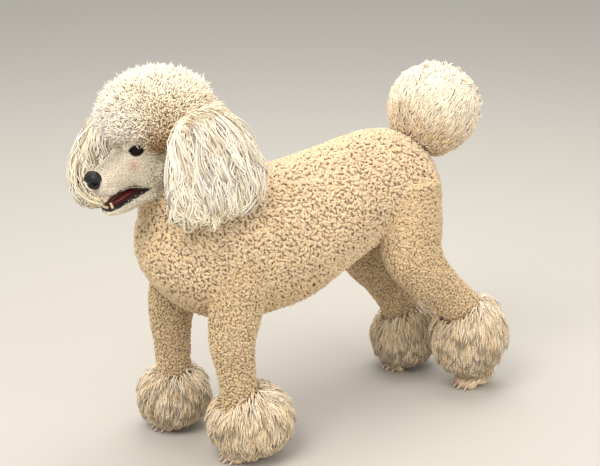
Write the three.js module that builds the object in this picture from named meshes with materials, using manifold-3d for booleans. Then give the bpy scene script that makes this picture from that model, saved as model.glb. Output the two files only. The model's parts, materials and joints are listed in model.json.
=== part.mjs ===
import * as THREE from 'three';
import { LoftGeometry } from 'three/addons/geometries/LoftGeometry.js';
import { mergeVertices } from 'three/addons/utils/BufferGeometryUtils.js';
import Module from 'manifold-3d';

const wasm = await Module();
wasm.setup();

// A standing standard poodle in a clipped coat, with a round topknot, long-haired
// ears, a pompon on each foot and one on the docked tail. Millimetres, +Z up.
// The dog faces -Y, its left side is +X and the floor is z = 0. Every section
// below is given out to the tips of the coat, as its middle, its half width
// across the dog and its half depth square to that.

const GAP = 0.3;
const MERGE = 1e-3;
const FAR = 700;
const SEED = 20417;
const POMPON_CLEAR = 6;
const UPWARD = [0, 0, 1];
const BACKWARD = [0, 1, 0];
const ORIGIN = [6, -14, 0];

// Finishes
const coatWarm = { color: 0xd9b88c, roughness: 0.95, metalness: 0 };
const coatPale = { color: 0xe9d6b8, roughness: 0.95, metalness: 0 };
const coatWhite = { color: 0xe8e0d2, roughness: 0.9, metalness: 0 };
const noseBlack = { color: 0x1d1a1b, roughness: 0.45, metalness: 0 };
const eyeBrown = { color: 0x1c110b, roughness: 0.08, metalness: 0 };
const tongueRed = { color: 0x9c4a48, roughness: 0.4, metalness: 0 };
const pawPink = { color: 0xd8b79a, roughness: 0.8, metalness: 0 };

// Trunk, from the breastbone to the buttocks
const TORSO = [
  { at: [0, -324, 388], w: 30, d: 32 },
  { at: [0, -304, 388], w: 68, d: 71 },
  { at: [0, -251, 379], w: 100, d: 114 },
  { at: [0, -179, 367], w: 109, d: 133 },
  { at: [0, -108, 363], w: 111, d: 133 },
  { at: [0, -27, 370], w: 109, d: 131 },
  { at: [0, 54, 394], w: 100, d: 120 },
  { at: [0, 116, 414], w: 92, d: 112 },
  { at: [0, 170, 421], w: 93, d: 106 },
  { at: [0, 215, 419], w: 88, d: 95 },
  { at: [0, 255, 400], w: 72, d: 78 },
  { at: [0, 276, 386], w: 32, d: 36 },
];

// Neck, from between the shoulders to inside the skull
const NECK = [
  { at: [0, -194, 372], w: 84, d: 92 },
  { at: [0, -229, 418], w: 87, d: 97 },
  { at: [1, -244, 474], w: 78, d: 84 },
  { at: [4, -258, 530], w: 76, d: 79 },
  { at: [8, -268, 580], w: 74, d: 76 },
  { at: [9, -272, 616], w: 56, d: 58 },
];

// Tail, docked and clipped, up into its pompon
const DOCK = [
  { at: [0, 205, 468], w: 34, d: 36 },
  { at: [0, 240, 500], w: 32, d: 33 },
  { at: [0, 262, 522], w: 28, d: 29 },
  { at: [0, 276, 535], w: 26, d: 26 },
];
const TAIL_POMPON = { at: [0, 289, 549], r: [86, 88, 88] };

// Limbs, from inside the trunk down into the pompon
const LIMBS = {
  foreleg_left: {
    sections: [
      { at: [62, -165, 400], w: 40, d: 62 },
      { at: [74, -182, 330], w: 42, d: 62 },
      { at: [84, -200, 268], w: 39, d: 50 },
      { at: [89, -209, 222], w: 37, d: 43 },
      { at: [90, -203, 172], w: 33, d: 36 },
      { at: [90, -196, 106], w: 30, d: 33 },
    ],
    pompon: { name: 'fore_pompon_left', at: [91, -175, 71], r: [79, 84, 75] },
    paw: { name: 'fore_paw_left', at: [90, -186], top: 50 },
  },
  foreleg_right: {
    sections: [
      { at: [-62, -185, 400], w: 40, d: 60 },
      { at: [-74, -208, 330], w: 42, d: 60 },
      { at: [-84, -226, 262], w: 39, d: 49 },
      { at: [-89, -231, 215], w: 36, d: 41 },
      { at: [-90, -229, 165], w: 32, d: 35 },
      { at: [-90, -227, 100], w: 29, d: 32 },
    ],
    pompon: { name: 'fore_pompon_right', at: [-90, -229, 66], r: [71, 75, 70] },
    paw: { name: 'fore_paw_right', at: [-90, -224], top: 48 },
  },
  hindleg_left: {
    sections: [
      { at: [52, 192, 430], w: 46, d: 66 },
      { at: [62, 192, 360], w: 46, d: 68 },
      { at: [69, 194, 305], w: 44, d: 62 },
      { at: [73, 222, 258], w: 40, d: 50 },
      { at: [74, 268, 212], w: 38, d: 42 },
      { at: [74, 318, 160], w: 34, d: 38 },
    ],
    pompon: { name: 'hind_pompon_left', at: [74, 334, 116], r: [78, 79, 84] },
    paw: { name: 'hind_paw_left', at: [74, 356], top: 66 },
  },
  hindleg_right: {
    sections: [
      { at: [-52, 180, 430], w: 46, d: 64 },
      { at: [-62, 172, 360], w: 46, d: 64 },
      { at: [-69, 168, 305], w: 44, d: 58 },
      { at: [-73, 194, 250], w: 40, d: 48 },
      { at: [-74, 234, 200], w: 37, d: 40 },
      { at: [-74, 278, 128], w: 33, d: 36 },
    ],
    pompon: { name: 'hind_pompon_right', at: [-73, 292, 78], r: [70, 75, 76] },
    paw: { name: 'hind_paw_right', at: [-74, 292], top: 48 },
  },
};

// Paw: pastern, pad and four toes with claws, resting on small flats
const PAW = {
  toe: { step: 12.5, r: [8.4, 13, 12.4], ahead: 25, lead: 6, z: 11.4 },
  claw: { r: 2.8, long: 13, dip: 24, z: 8 },
  pad: { back: 8, r: [17, 17, 9.4], z: 8.4 },
  bed: { ahead: 25, r: [37, 38, 27], z: 8 },
};

// Rounded clumps of curls, set close on a net round each body: how deep the coat is,
// how many clumps stand round the body and how many rows lie along it. Between them
// the coat falls back half way to the skin.
const TORSO_COAT = { depth: 22, around: 11, rows: 10 };
const NECK_COAT = { depth: 22, around: 8, rows: 4 };
const DOCK_COAT = { depth: 14, around: 4, rows: 3 };
const LIMB_COAT = { depth: 18, around: 5, rows: 6 };
const TOPKNOT_COAT = { depth: 46, around: 9, rows: 5 };
const POMPON_COAT = { depth: 46, around: 6, rows: 4 };
const CLUMP = { valley: 0.5, shoulder: 0.9, reach: 0.6, tip: 0.1, vary: 0.07 };

// Head frame: midway between the eyes, x to the dog's left, y back, z up
const HEAD = { at: [17.8, -363.2, 575.6], yaw: 10, pitch: 18 };
const SKULL = [
  { at: [0, 108, 8], w: 30, d: 34 },
  { at: [0, 84, -6], w: 52, d: 60 },
  { at: [0, 48, -24], w: 56, d: 70 },
  { at: [0, 20, -35], w: 51, d: 62 },
  { at: [0, 0, -42], w: 46, d: 55 },
  { at: [0, -18, -49], w: 32, d: 48 },
  { at: [0, -43, -51], w: 26, d: 46 },
  { at: [0, -64, -50], w: 22, d: 41 },
  { at: [0, -73, -49], w: 17, d: 36 },
  { at: [0, -77, -50], w: 11, d: 28 },
];
const SKULL_POWER = 2.4;
const EYE = { at: [24.5, 5.5, 1], r: 11.2, out: 38, up: 12, wide: 21, high: 15.5 };
const LIDS = { at: [24, 9, -0.5], r: [19, 17, 16] };
const NOSE = { at: [0, -75, -20], r: [17.5, 13, 16] };
const NOSTRIL = { at: [8.6, -86, -21], r: [4.6, 6, 3.2], turn: 0.5 };
const MOUTH = { corner: [-1, -68], upper: [-100, -51], lower: [-100, -76], wide: 120 };
const LIP = { out: 1.6, high: 3.4 };
const TONGUE = [
  { at: [0, -10, -72], w: 11, d: 4 },
  { at: [0, -28, -71], w: 13, d: 5 },
  { at: [0, -46, -71.5], w: 12, d: 5 },
  { at: [0, -59, -73], w: 8, d: 4 },
];

// Lower teeth: places across and along the jaw, thickness, height and root
const TEETH = {
  canine: { x: 12.5, y: -65, r: 2.7, high: 10, root: 4 },
  incisor: { places: [[2.2, -71.5], [6.2, -70.5], [9, -68.5]], r: 1.9, high: 4.5, root: 3 },
  cheek: { places: [[18.5, -50], [19.5, -41], [20.5, -31]], r: 3, high: 5, root: 3 },
};

// Topknot as level sections, from the nape up to its crown
const TOPKNOT = [
  { at: [4, -256, 530], w: 66, d: 62 },
  { at: [5, -270, 562], w: 84, d: 86 },
  { at: [5, -288, 604], w: 101, d: 112 },
  { at: [6, -297, 640], w: 96, d: 104 },
  { at: [6, -295, 672], w: 77, d: 84 },
  { at: [5, -292, 693], w: 45, d: 50 },
  { at: [4, -290, 701], w: 14, d: 16 },
];

// Ears as level sections of leather and hair; side is the way each lies
const EARS = {
  ear_left: {
    side: [-0.12, 1, 0],
    sections: [
      { at: [88, -260, 637], w: 36, d: 17 },
      { at: [92, -257, 618], w: 62, d: 23 },
      { at: [94, -247, 580], w: 81, d: 24 },
      { at: [95, -239, 535], w: 94, d: 23 },
      { at: [94, -236, 492], w: 96, d: 23 },
      { at: [92, -243, 456], w: 76, d: 20 },
      { at: [90, -253, 431], w: 38, d: 12 },
    ],
    cup: { at: [74, -314, 560], r: [12, 30, 52] },
  },
  ear_right: {
    side: [0.16, 1, 0],
    sections: [
      { at: [-82, -312, 618], w: 32, d: 14 },
      { at: [-91, -316, 598], w: 56, d: 18 },
      { at: [-98, -320, 562], w: 74, d: 21 },
      { at: [-102, -322, 520], w: 85, d: 22 },
      { at: [-102, -320, 480], w: 83, d: 22 },
      { at: [-99, -318, 450], w: 62, d: 18 },
      { at: [-97, -316, 429], w: 30, d: 11 },
    ],
    cup: { at: [-82, -380, 545], r: [12, 26, 48] },
  },
};
const EAR_POWER = 3.2;
const EAR_BED = { margin: 3, deep: 1, out: 60, power: 8 };
const EAR_CORE = { wide: 0.84, deep: 0.55, reach: 6 };

// Locks of an ear in tiers: where each tier starts and ends along the ear, and how
// far out its locks stand from root to tip, as a share of the ear's half depth
const EAR_TIERS = [
  { count: 3, from: 0.06, to: 0.56, reach: [0.35, 0.95, 1.0, 0.95] },
  { count: 3, from: 0.27, to: 0.82, reach: [0.3, 0.8, 0.95, 0.9] },
  { count: 3, from: 0.5, to: 0.95, reach: [0.2, 0.6, 0.8, 0.6] },
];
const LOCK = { w: [16, 34, 31, 6], d: [6, 8, 7, 3], share: 0.42, edge: 0.55, sway: 0.05, vary: 0.04 };

// Planes that part the dog, by a point and the direction of the piece beyond
const BROW_CUT = { at: [0, -6, 22], toward: [0, 0.42, 0.91] };
const NAPE_CUT = { at: [0, 10, -112], toward: [0, -0.82, 0.572] };
const NECK_CUT = { at: [0, -205, 448], toward: [0, -0.42, 0.91] };
const DOCK_CUT = { at: [0, 228, 490], toward: [0, 0.71, 0.71] };
const FORELEG_BOX = { inner: 48, top: 290, front: -300, back: -138 };
const THIGH_BOX = { inner: 24, top: 384, front: 108, back: 300 };
const HINDLEG_TOP = 268;

const headFrame = new THREE.Matrix4().compose(
  new THREE.Vector3(...HEAD.at),
  new THREE.Quaternion().setFromEuler(new THREE.Euler(
    THREE.MathUtils.degToRad(HEAD.pitch), 0, THREE.MathUtils.degToRad(HEAD.yaw), 'ZYX')),
  new THREE.Vector3(1, 1, 1),
);

// A three.js geometry as a closed solid with its faces pointing out
function toSolid(geometry) {
  const bare = new THREE.BufferGeometry();
  bare.setAttribute('position', geometry.attributes.position);
  bare.setIndex(geometry.index);
  const merged = mergeVertices(bare, MERGE);
  const corners = merged.index.array;
  const faces = [];
  for (let i = 0; i < corners.length; i += 3) {
    const [a, b, c] = corners.slice(i, i + 3);
    if (a !== b && b !== c && c !== a) faces.push(a, b, c);
  }
  const build = (triVerts) => new wasm.Manifold(new wasm.Mesh({
    numProp: 3,
    vertProperties: new Float32Array(merged.attributes.position.array),
    triVerts: new Uint32Array(triVerts),
  }));
  const solid = build(faces);
  return solid.volume() > 0 ? solid : build(faces.reverse());
}

function toGeometry(solid) {
  const { vertProperties, triVerts } = solid.getMesh();
  const geometry = new THREE.BufferGeometry();
  geometry.setAttribute('position', new THREE.BufferAttribute(vertProperties, 3));
  geometry.setIndex(new THREE.BufferAttribute(triVerts, 1));
  geometry.computeVertexNormals();
  return geometry;
}

const join = (solids) => solids.reduce((all, one) => all.add(one));

// The largest closed surface of a solid, without loose scraps or sealed hollows
function largest(solid) {
  const pieces = solid.decompose();
  return pieces.reduce((best, one) => (one.volume() > best.volume() ? one : best));
}

// A repeatable stream of numbers from 0 to 1
let stream = SEED;
function random() {
  stream = (stream * 1664525 + 1013904223) % 4294967296;
  return stream / 4294967296;
}

const varied = (spread) => 1 + spread * (2 * random() - 1);
const bulge = (value, power) => Math.sign(value) * Math.abs(value) ** (2 / power);
const vector = (p) => new THREE.Vector3(...p);

// Where a path through sections runs: its middle, its two cross directions and
// its half spans. The sections stand square to the path, or to a given normal.
function spine(sections, { side = [1, 0, 0], normal = null } = {}) {
  const path = new THREE.CatmullRomCurve3(sections.map((s) => vector(s.at)));
  const spans = new THREE.CatmullRomCurve3(
    sections.map((s) => new THREE.Vector3(s.w, s.d, 0)), false, 'catmullrom');
  const across = vector(side).normalize();
  return (t) => {
    const heading = path.getTangent(t);
    const along = normal ? vector(normal) : heading.clone();
    if (along.dot(heading) < 0) along.negate();
    const u = across.clone().addScaledVector(along, -across.dot(along)).normalize();
    const v = new THREE.Vector3().crossVectors(along, u);
    return { middle: path.getPoint(t), span: spans.getPoint(t), heading, u, v };
  };
}

// A closed body carried along a path through superelliptic sections
function loft(sections, options = {}) {
  const { sides = 16, rings = 12, grow = 0, power = 2, frame = null } = options;
  const spineAt = spine(sections, options);
  const rows = [];
  for (let i = 0; i <= rings; i++) {
    const { middle, span, heading, u, v } = spineAt(i / rings);
    if (i === 0) middle.addScaledVector(heading, -grow);
    if (i === rings) middle.addScaledVector(heading, grow);
    rows.push(Array.from({ length: sides }, (_, j) => {
      const angle = (2 * Math.PI * j) / sides;
      return middle.clone()
        .addScaledVector(u, (span.x + grow) * bulge(Math.cos(angle), power))
        .addScaledVector(v, (span.y + grow) * bulge(Math.sin(angle), power));
    }));
  }
  const geometry = new LoftGeometry(rows, { capStart: true, capEnd: true });
  return toSolid(frame ? geometry.applyMatrix4(frame) : geometry);
}

function ball(at, r, { sides = 12, rings = 8, grow = 0, turn = [0, 0, 0], frame = null } = {}) {
  const geometry = new THREE.SphereGeometry(1, sides, rings)
    .rotateX(Math.PI / 2)
    .scale(...r.map((edge) => edge + grow))
    .applyMatrix4(new THREE.Matrix4().makeRotationFromEuler(new THREE.Euler(...turn)))
    .translate(...at);
  return toSolid(frame ? geometry.applyMatrix4(frame) : geometry);
}

// A box between two corners, pulled in or out by grow
function block(low, high, grow = 0, frame = null) {
  const size = high.map((edge, axis) => edge - low[axis] + 2 * grow);
  const geometry = new THREE.BoxGeometry(...size)
    .translate(...low.map((edge, axis) => (edge + high[axis]) / 2));
  return toSolid(frame ? geometry.applyMatrix4(frame) : geometry);
}

// All that lies beyond a plane through a point, as a large box
function beyond({ at, toward }, grow = 0, frame = null) {
  const turn = new THREE.Quaternion().setFromUnitVectors(
    new THREE.Vector3(0, 0, 1), new THREE.Vector3(...toward).normalize());
  const geometry = new THREE.BoxGeometry(FAR, FAR, FAR)
    .translate(0, 0, FAR / 2 - grow)
    .applyQuaternion(turn)
    .translate(...at);
  return toSolid(frame ? geometry.applyMatrix4(frame) : geometry);
}

const ground = block([-FAR, -FAR, -FAR], [FAR, FAR, 0]);
const trimGround = block([-FAR, -FAR, -FAR], [FAR, FAR, POMPON_CLEAR]);

// A closed body of rounded clumps, one on each point of a closed net of triangles.
// A clump rises from the valleys at the middles of the triangles round its point,
// over a shoulder, to its tip on the outside of the coat. Each body starts the
// numbers anew, so it comes out the same when it is grown by a gap.
function clumped({ points, faces }, depth, grow = 0) {
  stream = SEED;
  const heights = points.map(() => CLUMP.tip + CLUMP.vary * (2 * random() - 1));
  const spots = points.map(({ at, normal }, i) => (
    at.clone().addScaledVector(normal, depth * heights[i])));
  const middles = faces.map((face) => {
    const middle = new THREE.Vector3();
    const normal = new THREE.Vector3();
    face.forEach((i) => {
      middle.addScaledVector(points[i].at, 1 / 3);
      normal.add(points[i].normal);
    });
    return { at: middle, normal: normal.normalize() };
  });
  const valleys = middles.map(({ at, normal }) => spots.push(
    at.clone().addScaledVector(normal, depth * (CLUMP.valley * varied(CLUMP.vary) - 1))) - 1);
  const shoulders = faces.map((face, f) => new Map(face.map((i) => [i, spots.push(
    points[i].at.clone().lerp(middles[f].at, CLUMP.reach * varied(CLUMP.vary))
      .addScaledVector(points[i].normal, depth * (CLUMP.shoulder + heights[i] - 1))) - 1])));
  const owner = new Map();
  faces.forEach((face, f) => face.forEach((a, k) => owner.set(`${a},${face[(k + 1) % 3]}`, f)));
  const corners = [];
  for (const [edge, left] of owner) {
    const [a, b] = edge.split(',').map(Number);
    if (a < b) {
      const right = owner.get(`${b},${a}`);
      for (const [tip, far, near] of [[a, left, right], [b, right, left]]) {
        const farSide = shoulders[far].get(tip);
        const nearSide = shoulders[near].get(tip);
        corners.push(tip, nearSide, farSide);
        corners.push(nearSide, valleys[near], valleys[far]);
        corners.push(nearSide, valleys[far], farSide);
      }
    }
  }
  const geometry = new THREE.BufferGeometry().setFromPoints(spots);
  geometry.setIndex(corners);
  geometry.computeVertexNormals();
  const { position, normal } = geometry.attributes;
  position.array.forEach((value, i) => {
    position.array[i] = value + grow * normal.array[i];
  });
  return toSolid(geometry);
}

// A closed net of staggered rows between two poles, as points and triangles
function netOf({ rows, around }, pointAt, [first, last]) {
  const points = [];
  const faces = [];
  const index = (row, j) => row * around + ((j + around) % around);
  for (let row = 0; row < rows; row++) {
    const lean = row % 2;
    for (let j = 0; j < around; j++) {
      points.push(pointAt(row, (2 * Math.PI * (j + lean / 2)) / around));
      if (row < rows - 1) {
        faces.push([index(row, j), index(row, j + 1), index(row + 1, j + lean)]);
        faces.push([index(row + 1, j + lean), index(row + 1, j + lean - 1), index(row, j)]);
      }
    }
  }
  const start = points.push(first) - 1;
  const end = points.push(last) - 1;
  for (let j = 0; j < around; j++) {
    faces.push([start, index(0, j + 1), index(0, j)]);
    faces.push([end, index(rows - 1, j), index(rows - 1, j + 1)]);
  }
  return { points, faces };
}

// A clumped body along a path through sections
function clumpedLoft(sections, coat, options = {}) {
  const spineAt = spine(sections, options);
  const pointAt = (row, angle) => {
    const { middle, span, u, v } = spineAt(row / (coat.rows - 1));
    const normal = u.clone().multiplyScalar(Math.cos(angle)).addScaledVector(v, Math.sin(angle));
    const at = middle
      .addScaledVector(u, span.x * Math.cos(angle))
      .addScaledVector(v, span.y * Math.sin(angle));
    return { at, normal };
  };
  const poles = [[0, -1], [1, 1]].map(([t, sign]) => {
    const { middle, heading } = spineAt(t);
    return { at: middle, normal: heading.multiplyScalar(sign) };
  });
  return clumped(netOf(coat, pointAt, poles), coat.depth, options.grow);
}

// A clumped ball, with its rows level
function clumpedBall({ at, r }, coat) {
  const pointAt = (normal) => ({ at: normal.clone().multiply(vector(r)).add(vector(at)), normal });
  const onRow = (row, angle) => {
    const tilt = (Math.PI * (row + 1)) / (coat.rows + 1);
    const wide = Math.sin(tilt);
    return pointAt(vector([wide * Math.cos(angle), wide * Math.sin(angle), -Math.cos(tilt)]));
  };
  return clumped(netOf(coat, onRow, [pointAt(vector([0, 0, -1])), pointAt(vector(UPWARD))]), coat.depth);
}

// Pieces by node name
const nodes = new Map();
const keep = (name, solid, finish) => nodes.set(name, { solid: largest(solid), finish });

// Trunk, neck, skull, dock and limbs in one piece, parted below
const trunkAt = (grow) => clumpedLoft(TORSO, TORSO_COAT, { normal: BACKWARD, grow });
const dockAt = (grow) => clumpedLoft(DOCK, DOCK_COAT, { grow });
const limbAt = ({ sections }, grow) => clumpedLoft(sections, LIMB_COAT, { grow });
const skullAt = (grow) => loft(SKULL, {
  sides: 12, rings: 10, normal: BACKWARD, power: SKULL_POWER, grow, frame: headFrame });
let rest = join([
  trunkAt(0),
  clumpedLoft(NECK, NECK_COAT),
  dockAt(0),
  skullAt(0),
  ...Object.values(LIMBS).map((limb) => limbAt(limb, 0)),
]);

// Takes the part of the rest that lies in a region, leaving a gap between them
function take(regionAt) {
  const piece = rest.intersect(regionAt(-GAP / 2));
  rest = rest.subtract(regionAt(GAP / 2));
  return piece;
}

// Topknot, over the skull and down to the nape
const crownAt = (grow) => beyond(BROW_CUT, grow, headFrame).intersect(
  block([-300, -FAR, 400], [300, -120, FAR + 100], grow));
const crown = clumpedLoft(TOPKNOT, TOPKNOT_COAT, { normal: UPWARD });
rest = rest.add(crown.intersect(crownAt(GAP)));
let topknot = take(crownAt);

// One flat lock that hangs along an ear, from its root in the core to a free tip
function lock(leafAt, out, across, { from, to, reach }) {
  const sway = LOCK.sway * varied(1);
  const sections = LOCK.w.map((w, i) => {
    const part = i / (LOCK.w.length - 1);
    const { middle, span, u, v } = leafAt(from + (to - from) * part);
    const place = across + sway * Math.sin(Math.PI * 1.5 * part);
    return {
      at: middle.addScaledVector(u, span.x * place)
        .addScaledVector(v, out * span.y * reach[i] * Math.sqrt(1 - across ** 2)).toArray(),
      w: Math.min(w, span.x * LOCK.share),
      d: LOCK.d[i],
    };
  });
  return loft(sections, { sides: 4, rings: LOCK.w.length - 1, side: leafAt(from).u.toArray() });
}

// Ears, each in a bed cut into the topknot, cheek and neck
for (const [name, { sections, side, cup }] of Object.entries(EARS)) {
  const out = Math.sign(sections[0].at[0]);
  const outward = new THREE.Vector3(side[1], -side[0], 0).normalize().multiplyScalar(out);
  const shifted = (at, by) => vector(at).addScaledVector(outward, by).toArray();
  const bedSections = sections.map(({ at, w, d }) => (
    { at: shifted(at, EAR_BED.out), w: w + EAR_BED.margin, d: d + EAR_BED.out + EAR_BED.deep }));
  const bed = loft(bedSections, {
    sides: 20, rings: 8, side, normal: UPWARD, grow: GAP, power: EAR_BED.power });
  const coreSections = sections.slice(0, EAR_CORE.reach).map(({ at, w, d }) => (
    { at: shifted(at, -d * (1 - EAR_CORE.deep)), w: w * EAR_CORE.wide, d: d * EAR_CORE.deep }));
  const leaf = loft(coreSections, { sides: 10, rings: 7, side, normal: UPWARD, power: EAR_POWER })
    .subtract(ball(cup.at, cup.r, { sides: 10, rings: 6 }));
  const leafAt = spine(sections, { side, normal: UPWARD });
  const locks = EAR_TIERS.flatMap((tier) => Array.from({ length: tier.count }, (_, i) => (
    lock(leafAt, out, LOCK.edge * ((2 * i) / (tier.count - 1) - 1), {
      ...tier,
      from: tier.from + LOCK.vary * random(),
      to: tier.to - LOCK.vary * random(),
    }))));
  keep(name, join([leaf, ...locks]), coatWhite);
  topknot = topknot.subtract(bed);
  rest = rest.subtract(bed);
}
keep('topknot', topknot, coatPale);

// One paw: a pastern that rises into the pompon, a pad, and four clawed toes.
// Grown, it is the bed that the paw needs in the pompon, with room for the toes.
function paw({ at: [x, y], top }, grow = 0) {
  const { toe, claw, pad, bed } = PAW;
  const pieces = [
    loft([
      { at: [x, y + 12, top], w: 20, d: 21 },
      { at: [x, y + 9, 30], w: 22, d: 24 },
      { at: [x, y, 14], w: 24, d: 29 },
      { at: [x, y - 2, 5], w: 21, d: 25 },
    ], { sides: 7, rings: 3, grow }),
    ball([x, y + pad.back, pad.z], pad.r, { sides: 6, rings: 3, grow }),
  ];
  if (grow > 0) return join([...pieces, ball([x, y - bed.ahead, bed.z], bed.r, { sides: 7, rings: 4 })]);
  for (const place of [-1.5, -0.5, 0.5, 1.5]) {
    const tip = y - toe.ahead - (Math.abs(place) < 1 ? toe.lead : 0);
    const toeX = x + place * toe.step;
    pieces.push(ball([toeX, tip, toe.z], toe.r, { sides: 5, rings: 3 }));
    const nail = new THREE.ConeGeometry(claw.r, claw.long, 4)
      .rotateX(Math.PI / 2 + THREE.MathUtils.degToRad(claw.dip))
      .translate(toeX, tip - toe.r[1] - claw.long * 0.18, claw.z);
    pieces.push(toSolid(nail));
  }
  return join(pieces).subtract(ground);
}

// A pompon cleared of what enters it. Each body is cut twice, grown and as it is,
// since the sides of steep clumps hardly grow.
const cleared = (pompon, bodies) => bodies.reduce(
  (left, bodyAt) => left.subtract(bodyAt(GAP)).subtract(bodyAt(0)), clumpedBall(pompon, POMPON_COAT));

// Pompons and paws
for (const limb of Object.values(LIMBS)) {
  const { pompon, paw: foot } = limb;
  const tuft = cleared(pompon, [(grow) => limbAt(limb, grow)])
    .subtract(paw(foot, GAP))
    .subtract(trimGround);
  keep(pompon.name, tuft, coatPale);
  keep(foot.name, paw(foot), pawPink);
}
keep('tail_pompon', cleared(TAIL_POMPON, [dockAt, trunkAt]), coatPale);

// Eyes and lids: a mound over each ball, opened by an almond along its gaze
for (const [name, mirror] of [['eye_left', 1], ['eye_right', -1]]) {
  const sided = ([x, y, z]) => [x * mirror, y, z];
  const half = EYE.wide / 2;
  const lift = (EYE.high ** 2 / 4 + half ** 2) / EYE.high;
  const rise = lift - EYE.high / 2;
  const sweep = Math.asin(half / lift);
  const almond = new THREE.Shape();
  almond.absarc(0, -rise, lift, Math.PI / 2 - sweep, Math.PI / 2 + sweep);
  almond.absarc(0, rise, lift, 1.5 * Math.PI - sweep, 1.5 * Math.PI + sweep);
  const opening = new THREE.ExtrudeGeometry(almond, { depth: 30, bevelEnabled: false, curveSegments: 4 })
    .rotateX(Math.PI / 2 - THREE.MathUtils.degToRad(EYE.up))
    .rotateZ(THREE.MathUtils.degToRad(EYE.out) * mirror)
    .translate(...sided(EYE.at))
    .applyMatrix4(headFrame);
  const globeAt = (grow) => ball(
    sided(EYE.at), [EYE.r, EYE.r, EYE.r], { sides: 8, rings: 6, grow, frame: headFrame });
  const mound = ball(sided(LIDS.at), LIDS.r, {
    sides: 8, rings: 6, turn: [0, 0, THREE.MathUtils.degToRad(EYE.out) * mirror], frame: headFrame });
  rest = rest
    .add(mound.subtract(crownAt(GAP / 2)))
    .subtract(globeAt(GAP))
    .subtract(toSolid(opening));
  keep(name, globeAt(0), eyeBrown);
}

// Nose leather with its two nostrils
const nostrils = [1, -1].map((mirror) => ball(
  [NOSTRIL.at[0] * mirror, NOSTRIL.at[1], NOSTRIL.at[2]], NOSTRIL.r,
  { sides: 6, rings: 5, turn: [0, NOSTRIL.turn * mirror, 0], frame: headFrame }));
const noseAt = (grow) => ball(NOSE.at, NOSE.r, { sides: 10, rings: 7, grow, frame: headFrame });
keep('nose', nostrils.reduce((nose, hole) => nose.subtract(hole), noseAt(0)), noseBlack);
rest = rest.subtract(noseAt(GAP));

// Open mouth: a wedge cut from the corners forward, with a raised lip along its edge
function gapeAt(grow) {
  const { corner, upper, lower, wide } = MOUTH;
  const wedge = new THREE.Shape([
    new THREE.Vector2(corner[0] + grow, corner[1]),
    new THREE.Vector2(upper[0], upper[1] + grow),
    new THREE.Vector2(lower[0], lower[1] - grow),
  ]);
  return toSolid(new THREE.ExtrudeGeometry(wedge, { depth: wide, bevelEnabled: false })
    .translate(0, 0, -wide / 2)
    .applyMatrix4(new THREE.Matrix4().makeBasis(
      new THREE.Vector3(0, 1, 0), new THREE.Vector3(0, 0, 1), new THREE.Vector3(1, 0, 0)))
    .applyMatrix4(headFrame));
}
const lips = skullAt(LIP.out).intersect(gapeAt(LIP.high));
rest = rest.add(lips.subtract(noseAt(GAP))).subtract(gapeAt(0));

// Jaw, with its lower teeth, and the tongue that lies in it
const jawAt = (grow) => block(
  [-60, -FAR / 4, -160], [60, MOUTH.corner[0], MOUTH.corner[1]], grow, headFrame);
const head = take((grow) => beyond(NAPE_CUT, grow, headFrame));
const tongueAt = (grow) => loft(TONGUE, { sides: 8, rings: 5, grow, frame: headFrame });
const floorOf = (y) => MOUTH.corner[1]
  + ((MOUTH.lower[1] - MOUTH.corner[1]) * (y - MOUTH.corner[0])) / (MOUTH.lower[0] - MOUTH.corner[0]);
const tooth = (x, y, { r, high, root }) => toSolid(new THREE.ConeGeometry(r, high + root, 4)
  .rotateX(Math.PI / 2)
  .translate(x, y, floorOf(y) + (high - root) / 2)
  .applyMatrix4(headFrame));
const teeth = [1, -1].flatMap((mirror) => [
  tooth(TEETH.canine.x * mirror, TEETH.canine.y, TEETH.canine),
  ...TEETH.incisor.places.map(([x, y]) => tooth(x * mirror, y, TEETH.incisor)),
  ...TEETH.cheek.places.map(([x, y]) => tooth(x * mirror, y, TEETH.cheek)),
]);
const jaw = head.intersect(jawAt(-GAP / 2)).subtract(tongueAt(GAP));
keep('tongue', tongueAt(0), tongueRed);
keep('jaw', join([jaw, ...teeth]), coatWhite);
keep('head', head.subtract(jawAt(GAP / 2)), coatWhite);

// Neck, tail, limbs and torso
keep('neck', take((grow) => beyond(NECK_CUT, grow).intersect(
  block([-200, -400, 300], [200, -20, FAR], grow))), coatWarm);
keep('tail_dock', take((grow) => beyond(DOCK_CUT, grow).intersect(
  block([-60, 160, 440], [60, 400, FAR], grow))), coatWarm);
for (const [name, mirror] of [['left', 1], ['right', -1]]) {
  const leg = ({ inner, top, front, back }, bottom) => (grow) => {
    const sides = [inner * mirror, FAR * mirror].sort((a, b) => a - b);
    return block([sides[0], front, bottom], [sides[1], back, top], grow);
  };
  keep(`foreleg_${name}`, take(leg(FORELEG_BOX, -FAR)), coatWarm);
  keep(`thigh_${name}`, take(leg(THIGH_BOX, HINDLEG_TOP)), coatWarm);
  keep(`hindleg_${name}`, take(leg({ ...THIGH_BOX, top: HINDLEG_TOP, back: FAR }, -FAR)), coatWarm);
}

keep('torso', rest, coatWarm);

// The dog as a scene graph
const poodle = new THREE.Group();
for (const [name, { solid, finish }] of nodes) {
  const mesh = new THREE.Mesh(toGeometry(solid), new THREE.MeshStandardMaterial(finish));
  mesh.name = name;
  poodle.add(mesh);
}
poodle.position.set(-ORIGIN[0], -ORIGIN[1], -ORIGIN[2]);

export default poodle;
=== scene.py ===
"""Looks of a standing standard poodle in a clipped coat of curls and pompons.

Sizes are millimetres in the dog's own frame: +X to its left, +Y to its tail, +Z up
and the floor at z = 0. They turn to metres about ORIGIN when a mesh is made.
"""

import json
import logging
import math
from dataclasses import dataclass, field
from enum import Enum
from pathlib import Path

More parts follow.
